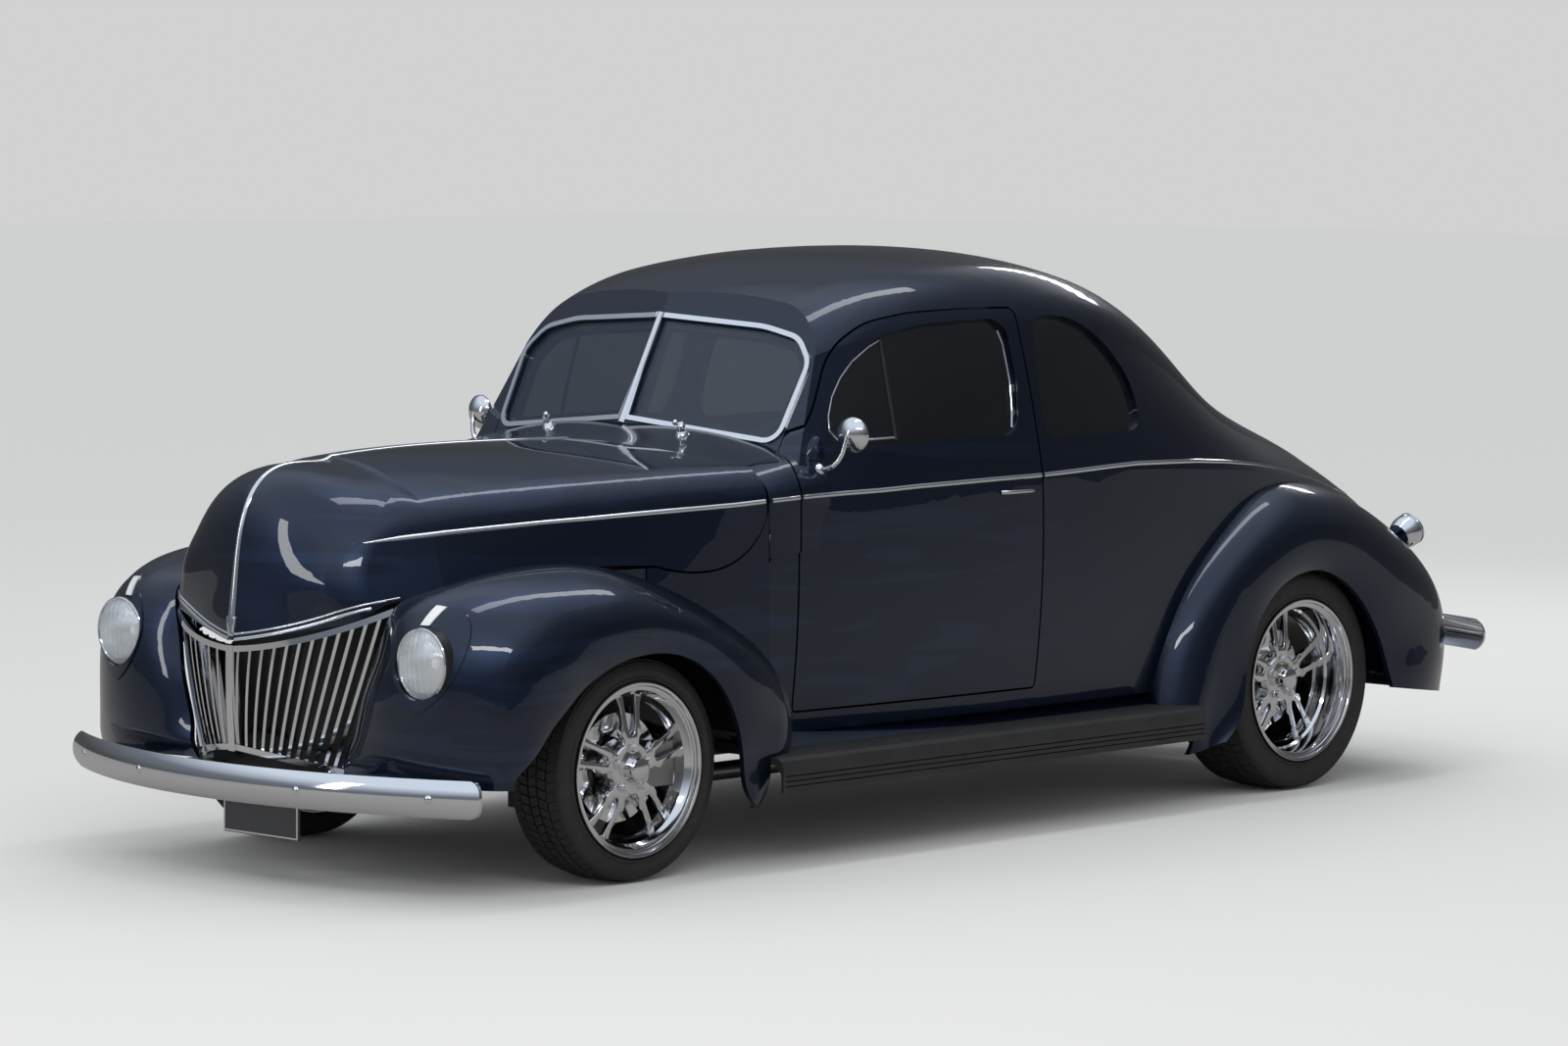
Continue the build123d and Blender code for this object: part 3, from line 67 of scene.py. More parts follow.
class Finish:
    """A material made of a Principled shader and the nodes that feed it."""

    def __init__(self, name, color, metallic=0.0, roughness=0.5, **sockets):
        self.mat = bpy.data.materials.new(name)
        self.mat.use_nodes = True
        self.tree = self.mat.node_tree
        self.shader = self.tree.nodes["Principled BSDF"]
        self.set("Base Color", (*color, 1.0))
        self.set("Metallic", metallic)
        self.set("Roughness", roughness)
        for socket, value in sockets.items():
            self.set(socket.replace("_", " "), value)
        self.mat.diffuse_color = (*color, 1.0)

    def set(self, socket, value):
        """Give a socket of the shader a constant or a link."""
        target = self.shader.inputs[socket]
        if isinstance(value, Sock):
            self.tree.links.new(value.socket, target)
        else:
            target.default_value = value

    def node(self, kind, settings, *values, output=0, **named):
        """Add a node: its settings first, then its sockets by number or by name."""
        made = self.tree.nodes.new(kind)
        for key, value in settings.items():
            if key == "stops":
                ramp = made.color_ramp.elements
                while len(ramp) < len(value):
                    ramp.new(0.5)
                for element, (position, shade) in zip(ramp, value):
                    element.position = position
                    element.color = shade
            else:
                setattr(made, key, value)
        by_name = [(key.replace("_", " "), value) for key, value in named.items()]
        for key, value in list(enumerate(values)) + by_name:
            if isinstance(value, Sock):
                self.tree.links.new(value.socket, made.inputs[key])
            elif value is not None:
                made.inputs[key].default_value = value
        return Sock(self, made.outputs[output])

    def place(self):
        """Where the shaded point is on the object."""
        return self.node("ShaderNodeTexCoord", {}, output="Object")

    def noise(self, scale, detail=2.0, stretch=(1, 1, 1)):
        """A cloudy pattern through the object, closer set along the axes that are stretched."""
        vector = self.node("ShaderNodeMapping", {}, Vector=self.place(), Scale=stretch)
        return self.node("ShaderNodeTexNoise", {}, Vector=vector, Scale=scale, Detail=detail)

    def bump(self, height, strength, distance):
        """Let a pattern raise the surface by so many metres."""
        self.set("Normal", self.node("ShaderNodeBump", {}, Height=height, Strength=strength, Distance=distance))

    def mix(self, factor, first, second):
        """One plain colour fading into another."""
        colors = [(*color, 1) for color in (first, second)]
        return self.node("ShaderNodeMix", {"data_type": "RGBA"}, factor, *[None] * 5, *colors, output=2)

    def shade(self, factor, dark, light):
        """A pattern drawn in two colours."""
        stops = [(0.0, (*dark, 1)), (1.0, (*light, 1))]
        return self.node("ShaderNodeValToRGB", {"stops": stops}, factor)


def mesh_piece(name, form, finish, body="root", smooth=0.6):
    """Turn a bmesh into a finished piece that rides on a body."""
    mesh = bpy.data.meshes.new(name)
    form.to_mesh(mesh)
    form.free()
    piece = bpy.data.objects.new(name, mesh)
    scene.collection.objects.link(piece)
    mesh.materials.append(finish.mat)
    mesh.shade_smooth()
    if smooth:
        mesh.set_sharp_from_angle(angle=smooth)
    if body:
        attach(piece, body)
    return piece


FLOOR_TONE, MIRRORED_FLOOR_TONE = (0.80, 0.80, 0.79), (0.36, 0.35, 0.34)
floor_form = bmesh.new()
bmesh.ops.create_grid(floor_form, x_segments=1, y_segments=1, size=60)
pale_floor = Finish("pale_floor", FLOOR_TONE, 0.0, 0.9, Specular_IOR_Level=0.0)
mirrored = pale_floor.node("ShaderNodeLightPath", {}, output="Is Glossy Ray")
pale_floor.set("Base Color", pale_floor.mix(mirrored, FLOOR_TONE, MIRRORED_FLOOR_TONE))
mesh_piece("floor", floor_form, pale_floor, body=None, smooth=0)

SOFT_LIGHT, PALE_WALL = (0.78, 0.79, 0.80, 1), (0.640, 0.643, 0.640, 1)
SKY_STOPS = ((0.06, (0.07, 0.072, 0.075, 1)), (0.46, (0.17, 0.19, 0.23, 1)), (0.80, (0.70, 0.78, 0.90, 1)))
SKY_TILT = 0.30
world = bpy.data.worlds.new("studio")
scene.world = world
world.use_nodes = True
world_nodes, world_links = world.node_tree.nodes, world.node_tree.links
rays = world_nodes.new("ShaderNodeLightPath")
heading = world_nodes.new("ShaderNodeTexCoord")
split = world_nodes.new("ShaderNodeSeparateXYZ")
world_links.new(heading.outputs["Generated"], split.inputs[0])
tilted = world_nodes.new("ShaderNodeMath")
tilted.operation = "MULTIPLY_ADD"
world_links.new(split.outputs["X"], tilted.inputs[0])
tilted.inputs[1].default_value = SKY_TILT
world_links.new(split.outputs["Z"], tilted.inputs[2])
sky = world_nodes.new("ShaderNodeValToRGB")
sky.color_ramp.elements.new(0.5)
for element, (position, tint) in zip(sky.color_ramp.elements, SKY_STOPS):
    element.position, element.color = position, tint
world_links.new(tilted.outputs[0], sky.inputs[0])


def seen_by(ray, plain, special):
    """A colour of the sky in which one kind of ray sees the special one."""
    mix = world_nodes.new("ShaderNodeMix")
    mix.data_type = "RGBA"
    world_links.new(rays.outputs[ray], mix.inputs[0])
    for slot, value in ((6, plain), (7, special)):
        if isinstance(value, tuple):
            mix.inputs[slot].default_value = value
        else:
            world_links.new(value, mix.inputs[slot])
    return mix.outputs[2]


lit_or_mirrored = seen_by("Is Glossy Ray", SOFT_LIGHT, sky.outputs[0])
world_links.new(seen_by("Is Camera Ray", lit_or_mirrored, PALE_WALL), world_nodes["Background"].inputs["Color"])

for lamp_name, place, aim, size, power in (
    ("key_lamp", (5.5, 5.0, 5.0), (0.9, 0.3, 0.8), (4.5, 0.5), 75),
    ("nose_lamp", (7.5, -1.5, 2.6), (1.9, 0.0, 0.7), (0.5, 2.6), 26),
    ("top_lamp", (-0.3, 0.6, 6.0), (-0.3, 0.0, 1.0), (6.5, 0.7), 50),
    ("back_lamp", (-7.0, -2.5, 4.5), (-1.0, 0.0, 0.9), (3.0, 0.6), 45),
):
    data = bpy.data.lights.new(lamp_name, "AREA")
    data.shape = "RECTANGLE"
    data.size, data.size_y = size
    data.energy = power
    lamp = bpy.data.objects.new(lamp_name, data)
    scene.collection.objects.link(lamp)
    lamp.location = place
    lamp.rotation_euler = (Vector(aim) - Vector(place)).to_track_quat("-Z", "Y").to_euler()

camera_data = bpy.data.cameras.new("camera")
camera_data.sensor_width = 36
camera_data.lens = 123.9
camera = bpy.data.objects.new("camera", camera_data)
scene.collection.objects.link(camera)
camera.location = (11.6564, 10.9060, 2.0933)
camera.rotation_euler = (math.radians(85.531), math.radians(-0.266), math.radians(133.536))
scene.camera = camera

# Body panels: pressed steel in deep blue metallic under clear lacquer,
# rubbed to a wet gloss. Faint licks of paler blue run back over the hood,
# the fenders and the doors.
BLUE, PALER_BLUE = (0.0026, 0.0098, 0.033), (0.0055, 0.0175, 0.052)


def flame_mask(finish):
    """Soft-edged licks that run back from the nose and die out past the doors."""

    def fade(value, low, high, start=0.0, end=1.0):
        return finish.node("ShaderNodeMapRange", {"interpolation_type": "SMOOTHSTEP"}, value, low, high, start, end)

    drawn_out = finish.node("ShaderNodeMapping", {}, Vector=finish.place(), Scale=(0.42, 0.3, 3.0))
    cloud = finish.node("ShaderNodeTexNoise", {}, Vector=drawn_out, Scale=3.4, Detail=1.0, Distortion=1.3)
    along, height = (finish.node("ShaderNodeSeparateXYZ", {}, finish.place(), output=axis) for axis in "XZ")
    return fade(cloud, 0.54, 0.60) * fade(along, -0.6, 0.5) * fade(height, 1.12, 1.2, 1.0, 0.0)


def dress(finish, slot_name, *nodes):
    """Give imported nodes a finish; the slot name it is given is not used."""
    for node in nodes:
        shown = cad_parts[node]
        shown.data.materials.clear()
        shown.data.materials.append(finish.mat)


body_paint = Finish("body_paint", (0.003, 0.011, 0.036), 0.8, 0.34, Coat_Weight=1.0, Coat_Roughness=0.012)
body_paint.set("Base Color", body_paint.shade(flame_mask(body_paint), BLUE, PALER_BLUE))
body_paint.set("Roughness", 0.29 + body_paint.noise(900, 1.0) * 0.10)
dress(body_paint, "body_paint", "body_shell", "cowl_sides", "hood", "deck_lid", "door_left", "door_right",
      "front_fender_left", "front_fender_right", "rear_fender_left", "rear_fender_right", "dashboard")

# Frame, axle and floor: welded channels, pressings and springs under plain
# black chassis paint, brushed on and dulled by the road.
black_paint = Finish("black_paint", (0.012, 0.012, 0.013), 0.0, 0.42)
black_paint.set("Roughness", 0.36 + black_paint.noise(40, 4.0) * 0.18)
black_paint.bump(black_paint.noise(160, 3.0), 0.12, 0.001)
dress(black_paint, "black_paint", "chassis_frame", "radiator", "floor_pan", "front_suspension", "rear_axle",
      "fuel_tank")

# Bright work: copper, nickel and chromium plate on steel pressings, and
# polished stainless steel. The plate has a faint haze and wipe marks.
chrome = Finish("bright_metal", (0.82, 0.83, 0.85), 1.0, 0.06)
chrome.set("Roughness", 0.035 + chrome.noise(26, 4.0, (1, 1, 3)) * 0.06)
chrome.bump(chrome.noise(5, 1.0), 0.03, 0.004)
dress(chrome, "bright_metal", "front_bumper", "rear_bumper", "windshield_trim", "steering_column", "grille")

# Glass: laminated blue-grey windshield panes that the cab shows through,
# and much darker tinted side and rear panes. A faint film of dust breaks
# up the shine of each.
screen_glass = Finish("tinted_glass", (0.035, 0.058, 0.100), 0.0, 0.015, Alpha=0.28, Specular_IOR_Level=1.0,
                      Coat_Weight=1.0, Coat_Roughness=0.0)
screen_glass.set("Roughness", 0.01 + screen_glass.noise(3, 3.0) * 0.03)
dark_glass = Finish("dark_glass", (0.006, 0.007, 0.009), 0.0, 0.015, Alpha=0.80, Specular_IOR_Level=0.5,
                    Coat_Weight=1.0, Coat_Roughness=0.0)
dark_glass.set("Roughness", 0.01 + dark_glass.noise(3, 3.0) * 0.03)
dress(screen_glass, "tinted_glass", "windshield")
dress(dark_glass, "tinted_glass", "door_glass_left", "door_glass_right", "quarter_glass", "rear_window")

# Iron and steel under the skin: the painted engine block, the bare
# hubs and the exhaust, which has browned with heat.
cast_metal = Finish("cast_metal", (0.10, 0.10, 0.105), 0.4, 0.55)
cast_metal.bump(cast_metal.noise(120, 5.0), 0.35, 0.002)
bare_steel = Finish("steel_parts", (0.36, 0.36, 0.37), 1.0, 0.34)
bare_steel.set("Base Color", bare_steel.shade(bare_steel.noise(9, 5.0), (0.30, 0.28, 0.26), (0.42, 0.42, 0.43)))
bare_steel.bump(bare_steel.noise(220, 3.0, (1, 6, 1)), 0.15, 0.0008)
dress(cast_metal, "cast_metal", "engine")
dress(bare_steel, "steel_parts", "knuckle_left", "knuckle_right", "exhaust")

# Tyres: low radial road tyres with a smooth wall, a rim guard, four ring
# grooves and raked tread blocks. Each is spun round its axle, and the
# blocks are copied round the tread.
tyre_rubber = Finish("tyre_rubber", (0.016, 0.016, 0.017), 0.0, 0.62)
tyre_rubber.set("Roughness", 0.55 + tyre_rubber.noise(14, 4.0) * 0.25)
tyre_rubber.set("Base Color", tyre_rubber.shade(tyre_rubber.noise(30, 6.0), (0.012, 0.012, 0.013),
                                                (0.024, 0.023, 0.022)))
tyre_rubber.bump(tyre_rubber.noise(400, 4.0), 0.25, 0.0006)
HANDS = (("left", 1), ("right", -1))
AXLES = {
    "front": dict(radius=0.306, width=0.205, rim=0.237, place=(1.510, 0.6435, 0.306)),
    "rear": dict(radius=0.337, width=0.245, rim=0.248, place=(-1.335, 0.6415, 0.337)),
}
CORNERS = [(axle, hand, side, spec) for axle, spec in AXLES.items() for hand, side in HANDS]
TREAD_PITCHES = 70
TREAD_DEPTH = 0.0075
SHOULDER = 0.018
RING_GROOVE, BLOCK_GAP = 0.007, 0.0035
BLOCK_RAKE, BLOCK_BEVEL = 0.28, 0.0009


def chain(form, points):
    """Vertices joined by edges, one after the other."""
    verts = [form.verts.new(point) for point in points]
    return verts, [form.edges.new(pair) for pair in zip(verts, verts[1:])]


def spun(form, points, steps=96, closed=False):
    """Spin a line of (along the axle, radius) points into a ring about the axle."""
    verts, edges = chain(form, [(0, along, radius) for along, radius in points])
    if closed:
        edges.append(form.edges.new((verts[-1], verts[0])))
    bmesh.ops.spin(form, geom=verts + edges, cent=(0, 0, 0), axis=(0, 1, 0), dvec=(0, 0, 0), angle=math.tau,
                   steps=steps, use_merge=True, use_duplicate=False)


def copied_round(form, faces, count):
    """Copy faces round the axle until there are so many of them."""
    edges = {edge for face in faces for edge in face.edges}
    verts = {vert for face in faces for vert in face.verts}
    bmesh.ops.spin(form, geom=[*faces, *edges, *verts], cent=(0, 0, 0), axis=(0, 1, 0), dvec=(0, 0, 0),
                   angle=math.tau * (count - 1) / count, steps=count - 1, use_merge=False, use_duplicate=True)


def settled(form, place, side):
    """Weld a wheel part, mirror it for the right side, put it at its axle and face it outwards."""
    bmesh.ops.remove_doubles(form, verts=form.verts[:], dist=1e-6)
    bmesh.ops.scale(form, vec=(1, side, 1), verts=form.verts[:])
    bmesh.ops.translate(form, vec=(place[0], place[1] * side, place[2]), verts=form.verts[:])
    bmesh.ops.recalc_face_normals(form, faces=form.faces[:])


for axle, hand, side, spec in CORNERS:
    outer, half, bead = spec["radius"] - 0.0005, spec["width"] / 2, spec["rim"] - 0.014
    base = outer - TREAD_DEPTH
    wall = [
        (half - 0.014, bead), (half - 0.013, bead + 0.018), (half - 0.004, bead + 0.021),
        (half - 0.0035, bead + 0.026), (half - 0.006, bead + 0.029), (half - 0.0008, (outer + bead) / 2 + 0.004),
        (half - 0.0035, outer - 0.024), (half - 0.0045, outer - 0.0235), (half - 0.007, outer - 0.016),
        (half - 0.016, outer - 0.0085), (half - 0.030, base), (0.0, base + 0.0006),
    ]
    inside = [(half - 0.024, bead), (half - 0.03, base - 0.02), (0, base - 0.012)]
    form = bmesh.new()
    spun(form, wall + [(-along, radius) for along, radius in reversed(wall[:-1])]
         + [(-along, radius) for along, radius in inside[:-1]] + inside[::-1], steps=120, closed=True)
    rib = (spec["width"] - 2 * SHOULDER) / 5
    pitch = math.tau * outer / TREAD_PITCHES
    for row in range(-2, 3):
        on_shoulder = abs(row) == 2
        wide, drop = (rib + 0.004, 0.0022) if on_shoulder else (rib - RING_GROOVE, 0.0)
        shift = row * rib + (math.copysign(RING_GROOVE / 2, row) if on_shoulder else 0)
        block = bmesh.ops.create_cube(form, size=1.0)["verts"]
        bmesh.ops.scale(form, vec=(pitch - BLOCK_GAP, wide, TREAD_DEPTH + 0.002), verts=block)
        for vert in block:
            vert.co.x += vert.co.y * (BLOCK_RAKE if row % 2 else -BLOCK_RAKE)
            if on_shoulder and vert.co.y * row > 0:
                vert.co.z -= 0.006
        bmesh.ops.translate(form, vec=(0.004 * row, shift, outer - 0.0012 - drop - TREAD_DEPTH / 2), verts=block)
        faces = {face for vert in block for face in vert.link_faces}
        edges = list({edge for face in faces for edge in face.edges})
        bevelled = bmesh.ops.bevel(form, geom=edges, offset=BLOCK_BEVEL, offset_type="OFFSET", segments=1,
                                   profile=0.5, affect="EDGES", clamp_overlap=True, material=-1)
        faces = {face for face in faces if face.is_valid}
        copied_round(form, faces | {face for vert in bevelled["verts"] for face in vert.link_faces}, TREAD_PITCHES)
    settled(form, spec["place"], side)
    tyre = mesh_piece(f"road_tyre_{axle}_{hand}", form, tyre_rubber, f"wheel_{axle}_{hand}_body", smooth=0.5)
    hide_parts(f"tyre_{axle}_{hand}")

# Wheels: cast and polished alloy, with five arms that split into two legs
# before they reach the rim, a stepped lip, a round centre cap and five
# bright nuts. The rear ones are the same casting set deep in a wider rim.
alloy = Finish("polished_alloy", (0.80, 0.80, 0.81), 1.0, 0.09)
alloy.set("Roughness", 0.05 + alloy.noise(18, 4.0) * 0.09)
alloy.bump(alloy.noise(7, 2.0), 0.04, 0.003)
FACE_DEPTH = {"front": 0.030, "rear": 0.084}
# Both tables hold (radius, half width) up one side of an arm and of the slot between its legs.
ARM_HALF = [(0.044, 0.026), (0.082, 0.027), (0.094, 0.0355), (0.105, 0.038), (0.114, 0.036), (0.122, 0.0325),
            (0.165, 0.0365), (0.195, 0.043)]
SLOT_HALF = [(0.170, 0.0195), (0.130, 0.0155), (0.110, 0.0125), (0.097, 0.0085), (0.091, 0.0)]
ARM_THICK, ARM_FALL, ARM_BEVEL = 0.026, 0.016, 0.0034
ARM_COUNT = NUT_COUNT = 5
NUT_CIRCLE = 0.057
LIP_HEIGHT = 0.0195


def filled(form, outline, thick):
    """A plate over a closed outline of points, given its thickness along -Y."""
    verts = [form.verts.new(point) for point in outline]
    edges = [form.edges.new(pair) for pair in zip(verts, verts[1:] + verts[:1])]
    faces = bmesh.ops.triangle_fill(form, edges=edges, use_beauty=True, use_dissolve=True)["geom"]
    faces = [face for face in faces if isinstance(face, bmesh.types.BMFace)]
    grown = bmesh.ops.extrude_face_region(form, geom=faces)["geom"]
    moved = [vert for vert in grown if isinstance(vert, bmesh.types.BMVert)]
    bmesh.ops.translate(form, vec=(0, -thick, 0), verts=moved)
    return list({vert for face in faces for vert in face.verts if face.is_valid} | set(moved))


def turned_cone(form, low, tall, radius1, radius2, segments):
    """A capped cone that stands along +Z, from a height upwards."""
    cone = bmesh.ops.create_cone(form, cap_ends=True, cap_tris=False, segments=segments, radius1=radius1,
                                 radius2=radius2, depth=tall)["verts"]
    bmesh.ops.translate(form, vec=(0, 0, low + tall / 2), verts=cone)
    return cone


for axle, hand, side, spec in CORNERS:
    half, lip = spec["width"] / 2 - 0.0015, spec["rim"]
    face_y = spec["width"] / 2 - FACE_DEPTH[axle]
    seat = lip - LIP_HEIGHT
    form = bmesh.new()
    spun(form, [
        (half, lip - 0.0012), (half + 0.0008, lip - 0.003), (half, lip - 0.0095), (half - 0.004, lip - 0.012),
        (half - 0.012, lip - 0.0135), (half - 0.0145, seat - 0.004), (half - 0.020, seat - 0.007),
        (face_y + 0.004, seat - 0.010), (face_y - 0.004, seat - 0.016), (face_y - 0.024, seat - 0.017),
        (face_y - 0.040, seat - 0.026), (-half + 0.02, seat - 0.024), (-half + 0.008, seat - 0.008),
        (-half, lip - 0.008), (-half, lip - 0.0015), (-half + 0.006, lip - 0.0015), (-half + 0.008, seat + 0.001),
        (half - 0.008, seat + 0.001), (half - 0.006, lip - 0.0012),
    ], steps=128, closed=True)
    reach = seat - 0.012
    leg = [(r, s) for r, s in ARM_HALF if r < reach - 0.012] + [(reach, 0.050)]
    slot = [(reach, 0.027), (reach - 0.012, 0.0215)] + [(r, s) for r, s in SLOT_HALF if r < reach - 0.02]
    half_arm = leg + slot
    outline = half_arm + [(r, -s) for r, s in reversed(half_arm[:-1])]
    arm = filled(form, [(s, face_y, r) for r, s in outline], ARM_THICK)
    for vert in arm:
        if vert.co.y > face_y - 0.005:
            vert.co.y -= ARM_FALL * max(0.0, (math.hypot(vert.co.x, vert.co.z) - 0.10) / 0.12)
    arm_faces = {face for vert in arm for face in vert.link_faces}
    arm_edges = [edge for edge in {edge for face in arm_faces for edge in face.edges} if edge.calc_face_angle(0) > 0.6]
    bmesh.ops.bevel(form, geom=arm_edges, offset=ARM_BEVEL, offset_type="OFFSET", segments=3, profile=0.5,
                    affect="EDGES", clamp_overlap=True, material=-1)
    arm_verts = {vert for vert in form.verts if vert.co.z > 0.04 and abs(vert.co.x) < 0.052
                 and vert.co.z < reach + 0.0005 and face_y - 0.03 < vert.co.y < face_y + 0.001
                 and abs(math.hypot(vert.co.x, vert.co.z) - (seat - 0.017)) > 1e-4}
    copied_round(form, [face for face in form.faces if arm_verts.issuperset(face.verts)], ARM_COUNT)
    spun(form, [(face_y - 0.026, 0.0), (face_y - 0.026, 0.070), (face_y - 0.006, 0.0725), (face_y - 0.002, 0.070),
                (face_y + 0.0005, 0.066), (face_y + 0.0005, 0.040), (face_y + 0.002, 0.036), (face_y + 0.030, 0.034),
                (face_y + 0.034, 0.031), (face_y + 0.036, 0.026), (face_y + 0.0365, 0.0)], steps=64)
    spun(form, [(face_y - 0.090, 0.017), (face_y - 0.090, 0.076), (face_y - 0.064, 0.0765), (face_y - 0.058, 0.10),
                (face_y - 0.058, 0.1490), (face_y - 0.082, 0.1490), (face_y - 0.082, 0.017)], steps=64)
    for number in range(NUT_COUNT):
        turn = math.tau * number / NUT_COUNT
        nut = (turned_cone(form, 0.0, 0.017, 0.0115, 0.0102, segments=6)
               + turned_cone(form, -0.0003, 0.003, 0.0155, 0.0148, segments=24))
        bmesh.ops.rotate(form, cent=(0, 0, 0), matrix=Matrix.Rotation(-math.pi / 2, 3, "X"), verts=nut)
        bmesh.ops.translate(form, vec=(NUT_CIRCLE * math.sin(turn), face_y, NUT_CIRCLE * math.cos(turn)), verts=nut)
    settled(form, spec["place"], side)
    wheel = mesh_piece(f"alloy_wheel_{axle}_{hand}", form, alloy, f"wheel_{axle}_{hand}_body", smooth=0.5)
    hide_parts(f"wheel_{axle}_{hand}")

# Belt moulding: a half-round of stainless steel clipped along the widest
# line of the body, in one length on each side of the hood, on the cowl,
# on each door and round each quarter. It runs out to a point at the nose.
UP, DOWN, BACK = Vector((0, 0, 1)), Vector((0, 0, -1)), Vector((-1, 0, 0))
HALF_ROUND = [(-0.5, -0.3), (-0.5, 0.25), (-0.36, 0.66), (-0.16, 0.94), (0.0, 1.0), (0.16, 0.94), (0.36, 0.66),
              (0.5, 0.25), (0.5, -0.3)]
BELT_WIDE, BELT_HIGH = 0.013, 0.0048
BEDDED = 0.0006
TIP_STEPS = 5
BELT_LINE = [
    (2.154, 0.924), (2.059, 0.934), (1.926, 0.945), (1.783, 0.953), (1.640, 0.961), (1.497, 0.967), (1.351, 0.975),
    (1.205, 0.982), (1.055, 0.989), (0.945, 0.997), (0.847, 1.001), (0.673, 1.005), (0.524, 1.007), (0.371, 1.012),
    (0.213, 1.015), (0.051, 1.018), (-0.117, 1.020), (-0.290, 1.026), (-0.424, 1.031), (-0.563, 1.035),
    (-0.706, 1.032), (-0.858, 1.028), (-1.018, 1.018), (-1.189, 1.002), (-1.369, 0.976), (-1.551, 0.937),
    (-1.694, 0.899), (-1.86, 0.862),
]
panel_trees = {}


def touch(node, start, heading):
    """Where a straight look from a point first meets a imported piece, and which way the surface faces."""
    if node not in panel_trees:
        panel_trees[node] = BVHTree.FromObject(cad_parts[node], bpy.context.evaluated_depsgraph_get())
    spot, facing, _, _ = panel_trees[node].ray_cast(Vector(start), heading)
    if spot is not None and facing.dot(heading) > 0:
        facing = -facing
    return spot, facing


def touch_side(node, side, x, z):
    """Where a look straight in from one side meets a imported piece."""
    return touch(node, (x, side * 1.3, z), Vector((0, -side, 0)))


def skinned(form, rings, closed=False):
    """Join rings of points into one skin, with flat ends unless the last ring meets the first."""
    loops = [[form.verts.new(point) for point in ring] for ring in rings]
    if not closed:
        form.faces.new(loops[0])
        form.faces.new(loops[-1][::-1])
    for first, second in zip(loops, loops[1:] + loops[:1] if closed else loops[1:]):
        for k in range(len(first)):
            form.faces.new((first[k - 1], first[k], second[k], second[k - 1]))
    bmesh.ops.recalc_face_normals(form, faces=form.faces[:])


def swept(form, stations, section=HALF_ROUND):
    """Carry a section along stations of (point, facing, width, height)."""
    rings = []
    for number, (point, facing, wide, high) in enumerate(stations):
        ahead = stations[min(number + 1, len(stations) - 1)][0] - stations[max(number - 1, 0)][0]
        up = (facing - ahead * (facing.dot(ahead) / ahead.dot(ahead))).normalized()
        across = ahead.cross(up).normalized()
        rings.append([point + across * (s * wide) + up * (h * high) for s, h in section])
    skinned(form, rings)


def belt_height(x):
    """How high the belt line is at a place along the body."""
    for (x1, z1), (x2, z2) in zip(BELT_LINE, BELT_LINE[1:]):
        if x2 <= x <= x1:
            return z1 + (z2 - z1) * (x - x1) / (x2 - x1)
    return BELT_LINE[-1][1]


# A tip is the share of its full size that a length has at that end.
for name, node, body, x_from, x_to, steps, tips in (
    ("hood_belt_moulding", "hood", "hood_body", 2.154, 0.962, 40, (0.15, 1.0)),
    ("cowl_belt_moulding", "body_shell", "root", 0.944, 0.842, 6, (1.0, 1.0)),
    ("door_belt_moulding", "door_{}", "door_{}_body", 0.830, -0.128, 40, (1.0, 1.0)),
    ("quarter_belt_moulding", "body_shell", "root", -0.140, -1.86, 64, (1.0, 0.15)),
):
    for hand, side in HANDS:
        stations = []
        for step in range(steps + 1):
            x = x_from + (x_to - x_from) * step / steps
            spot, facing = touch_side(node.format(hand), side, x, belt_height(x))
            if spot is not None:
                swell = min(1.0, tips[0] + step / TIP_STEPS, tips[1] + (steps - step) / TIP_STEPS)
                stations.append((spot - facing * BEDDED, facing, BELT_WIDE * swell, BELT_HIGH * swell))
        form = bmesh.new()
        swept(form, stations)
        mesh_piece(f"{name}_{hand}", form, chrome, body.format(hand))

# Centre moulding: a die-cast spine that starts at the cowl as a thin
# strip, follows the hood's crease and grows into the prow of the nose,
# where a plain shield closes it over the hood's catch.
CREASE_START, CREASE_END, CREASE_STEPS = 1.060, 1.950, 34
NOSE_HEIGHT, NOSE_SWEEP, NOSE_STEPS = 0.700, 97, 39
OFF_THE_SEAM = 0.0004
SHIELD_SIZE = (0.012, 0.036, 0.052)
stations = []
for step in range(CREASE_STEPS):
    x = CREASE_START + (CREASE_END - CREASE_START) * step / CREASE_STEPS
    spot, facing = touch("hood", (x, OFF_THE_SEAM, 1.6), DOWN)
    if spot is not None:
        stations.append((Vector((spot.x, 0, spot.z - BEDDED)), UP, 0.011 + 0.004 * step / CREASE_STEPS, 0.005))
for step in range(NOSE_STEPS + 1):
    share = step / NOSE_STEPS
    turn = math.radians(90 - NOSE_SWEEP * share)
    heading = Vector((math.cos(turn), 0, math.sin(turn)))
    spot, facing = touch("hood", Vector((CREASE_END, OFF_THE_SEAM, NOSE_HEIGHT)) + heading * 0.7, -heading)
    if spot is not None:
        stations.append((Vector((spot.x, 0, spot.z)) - heading * BEDDED, heading, 0.015 + 0.013 * share ** 2,
                         0.005 + 0.004 * share))
form = bmesh.new()
swept(form, stations)
mesh_piece("prow_moulding", form, chrome, "hood_body")
form = bmesh.new()
shield = bmesh.ops.create_cube(form, size=1.0)["verts"]
bmesh.ops.scale(form, vec=SHIELD_SIZE, verts=shield)
for vert in shield:
    if vert.co.z < 0:
        vert.co.y *= 0.55
    vert.co.x -= abs(vert.co.y) * 0.35
bmesh.ops.translate(form, vec=stations[-1][0] + Vector((0.004, 0, 0.022)), verts=shield)
bmesh.ops.bevel(form, geom=form.edges[:], offset=0.003, offset_type="OFFSET", segments=3, profile=0.5,
                affect="EDGES", clamp_overlap=True, material=-1)
mesh_piece("nose_shield", form, chrome, "hood_body")

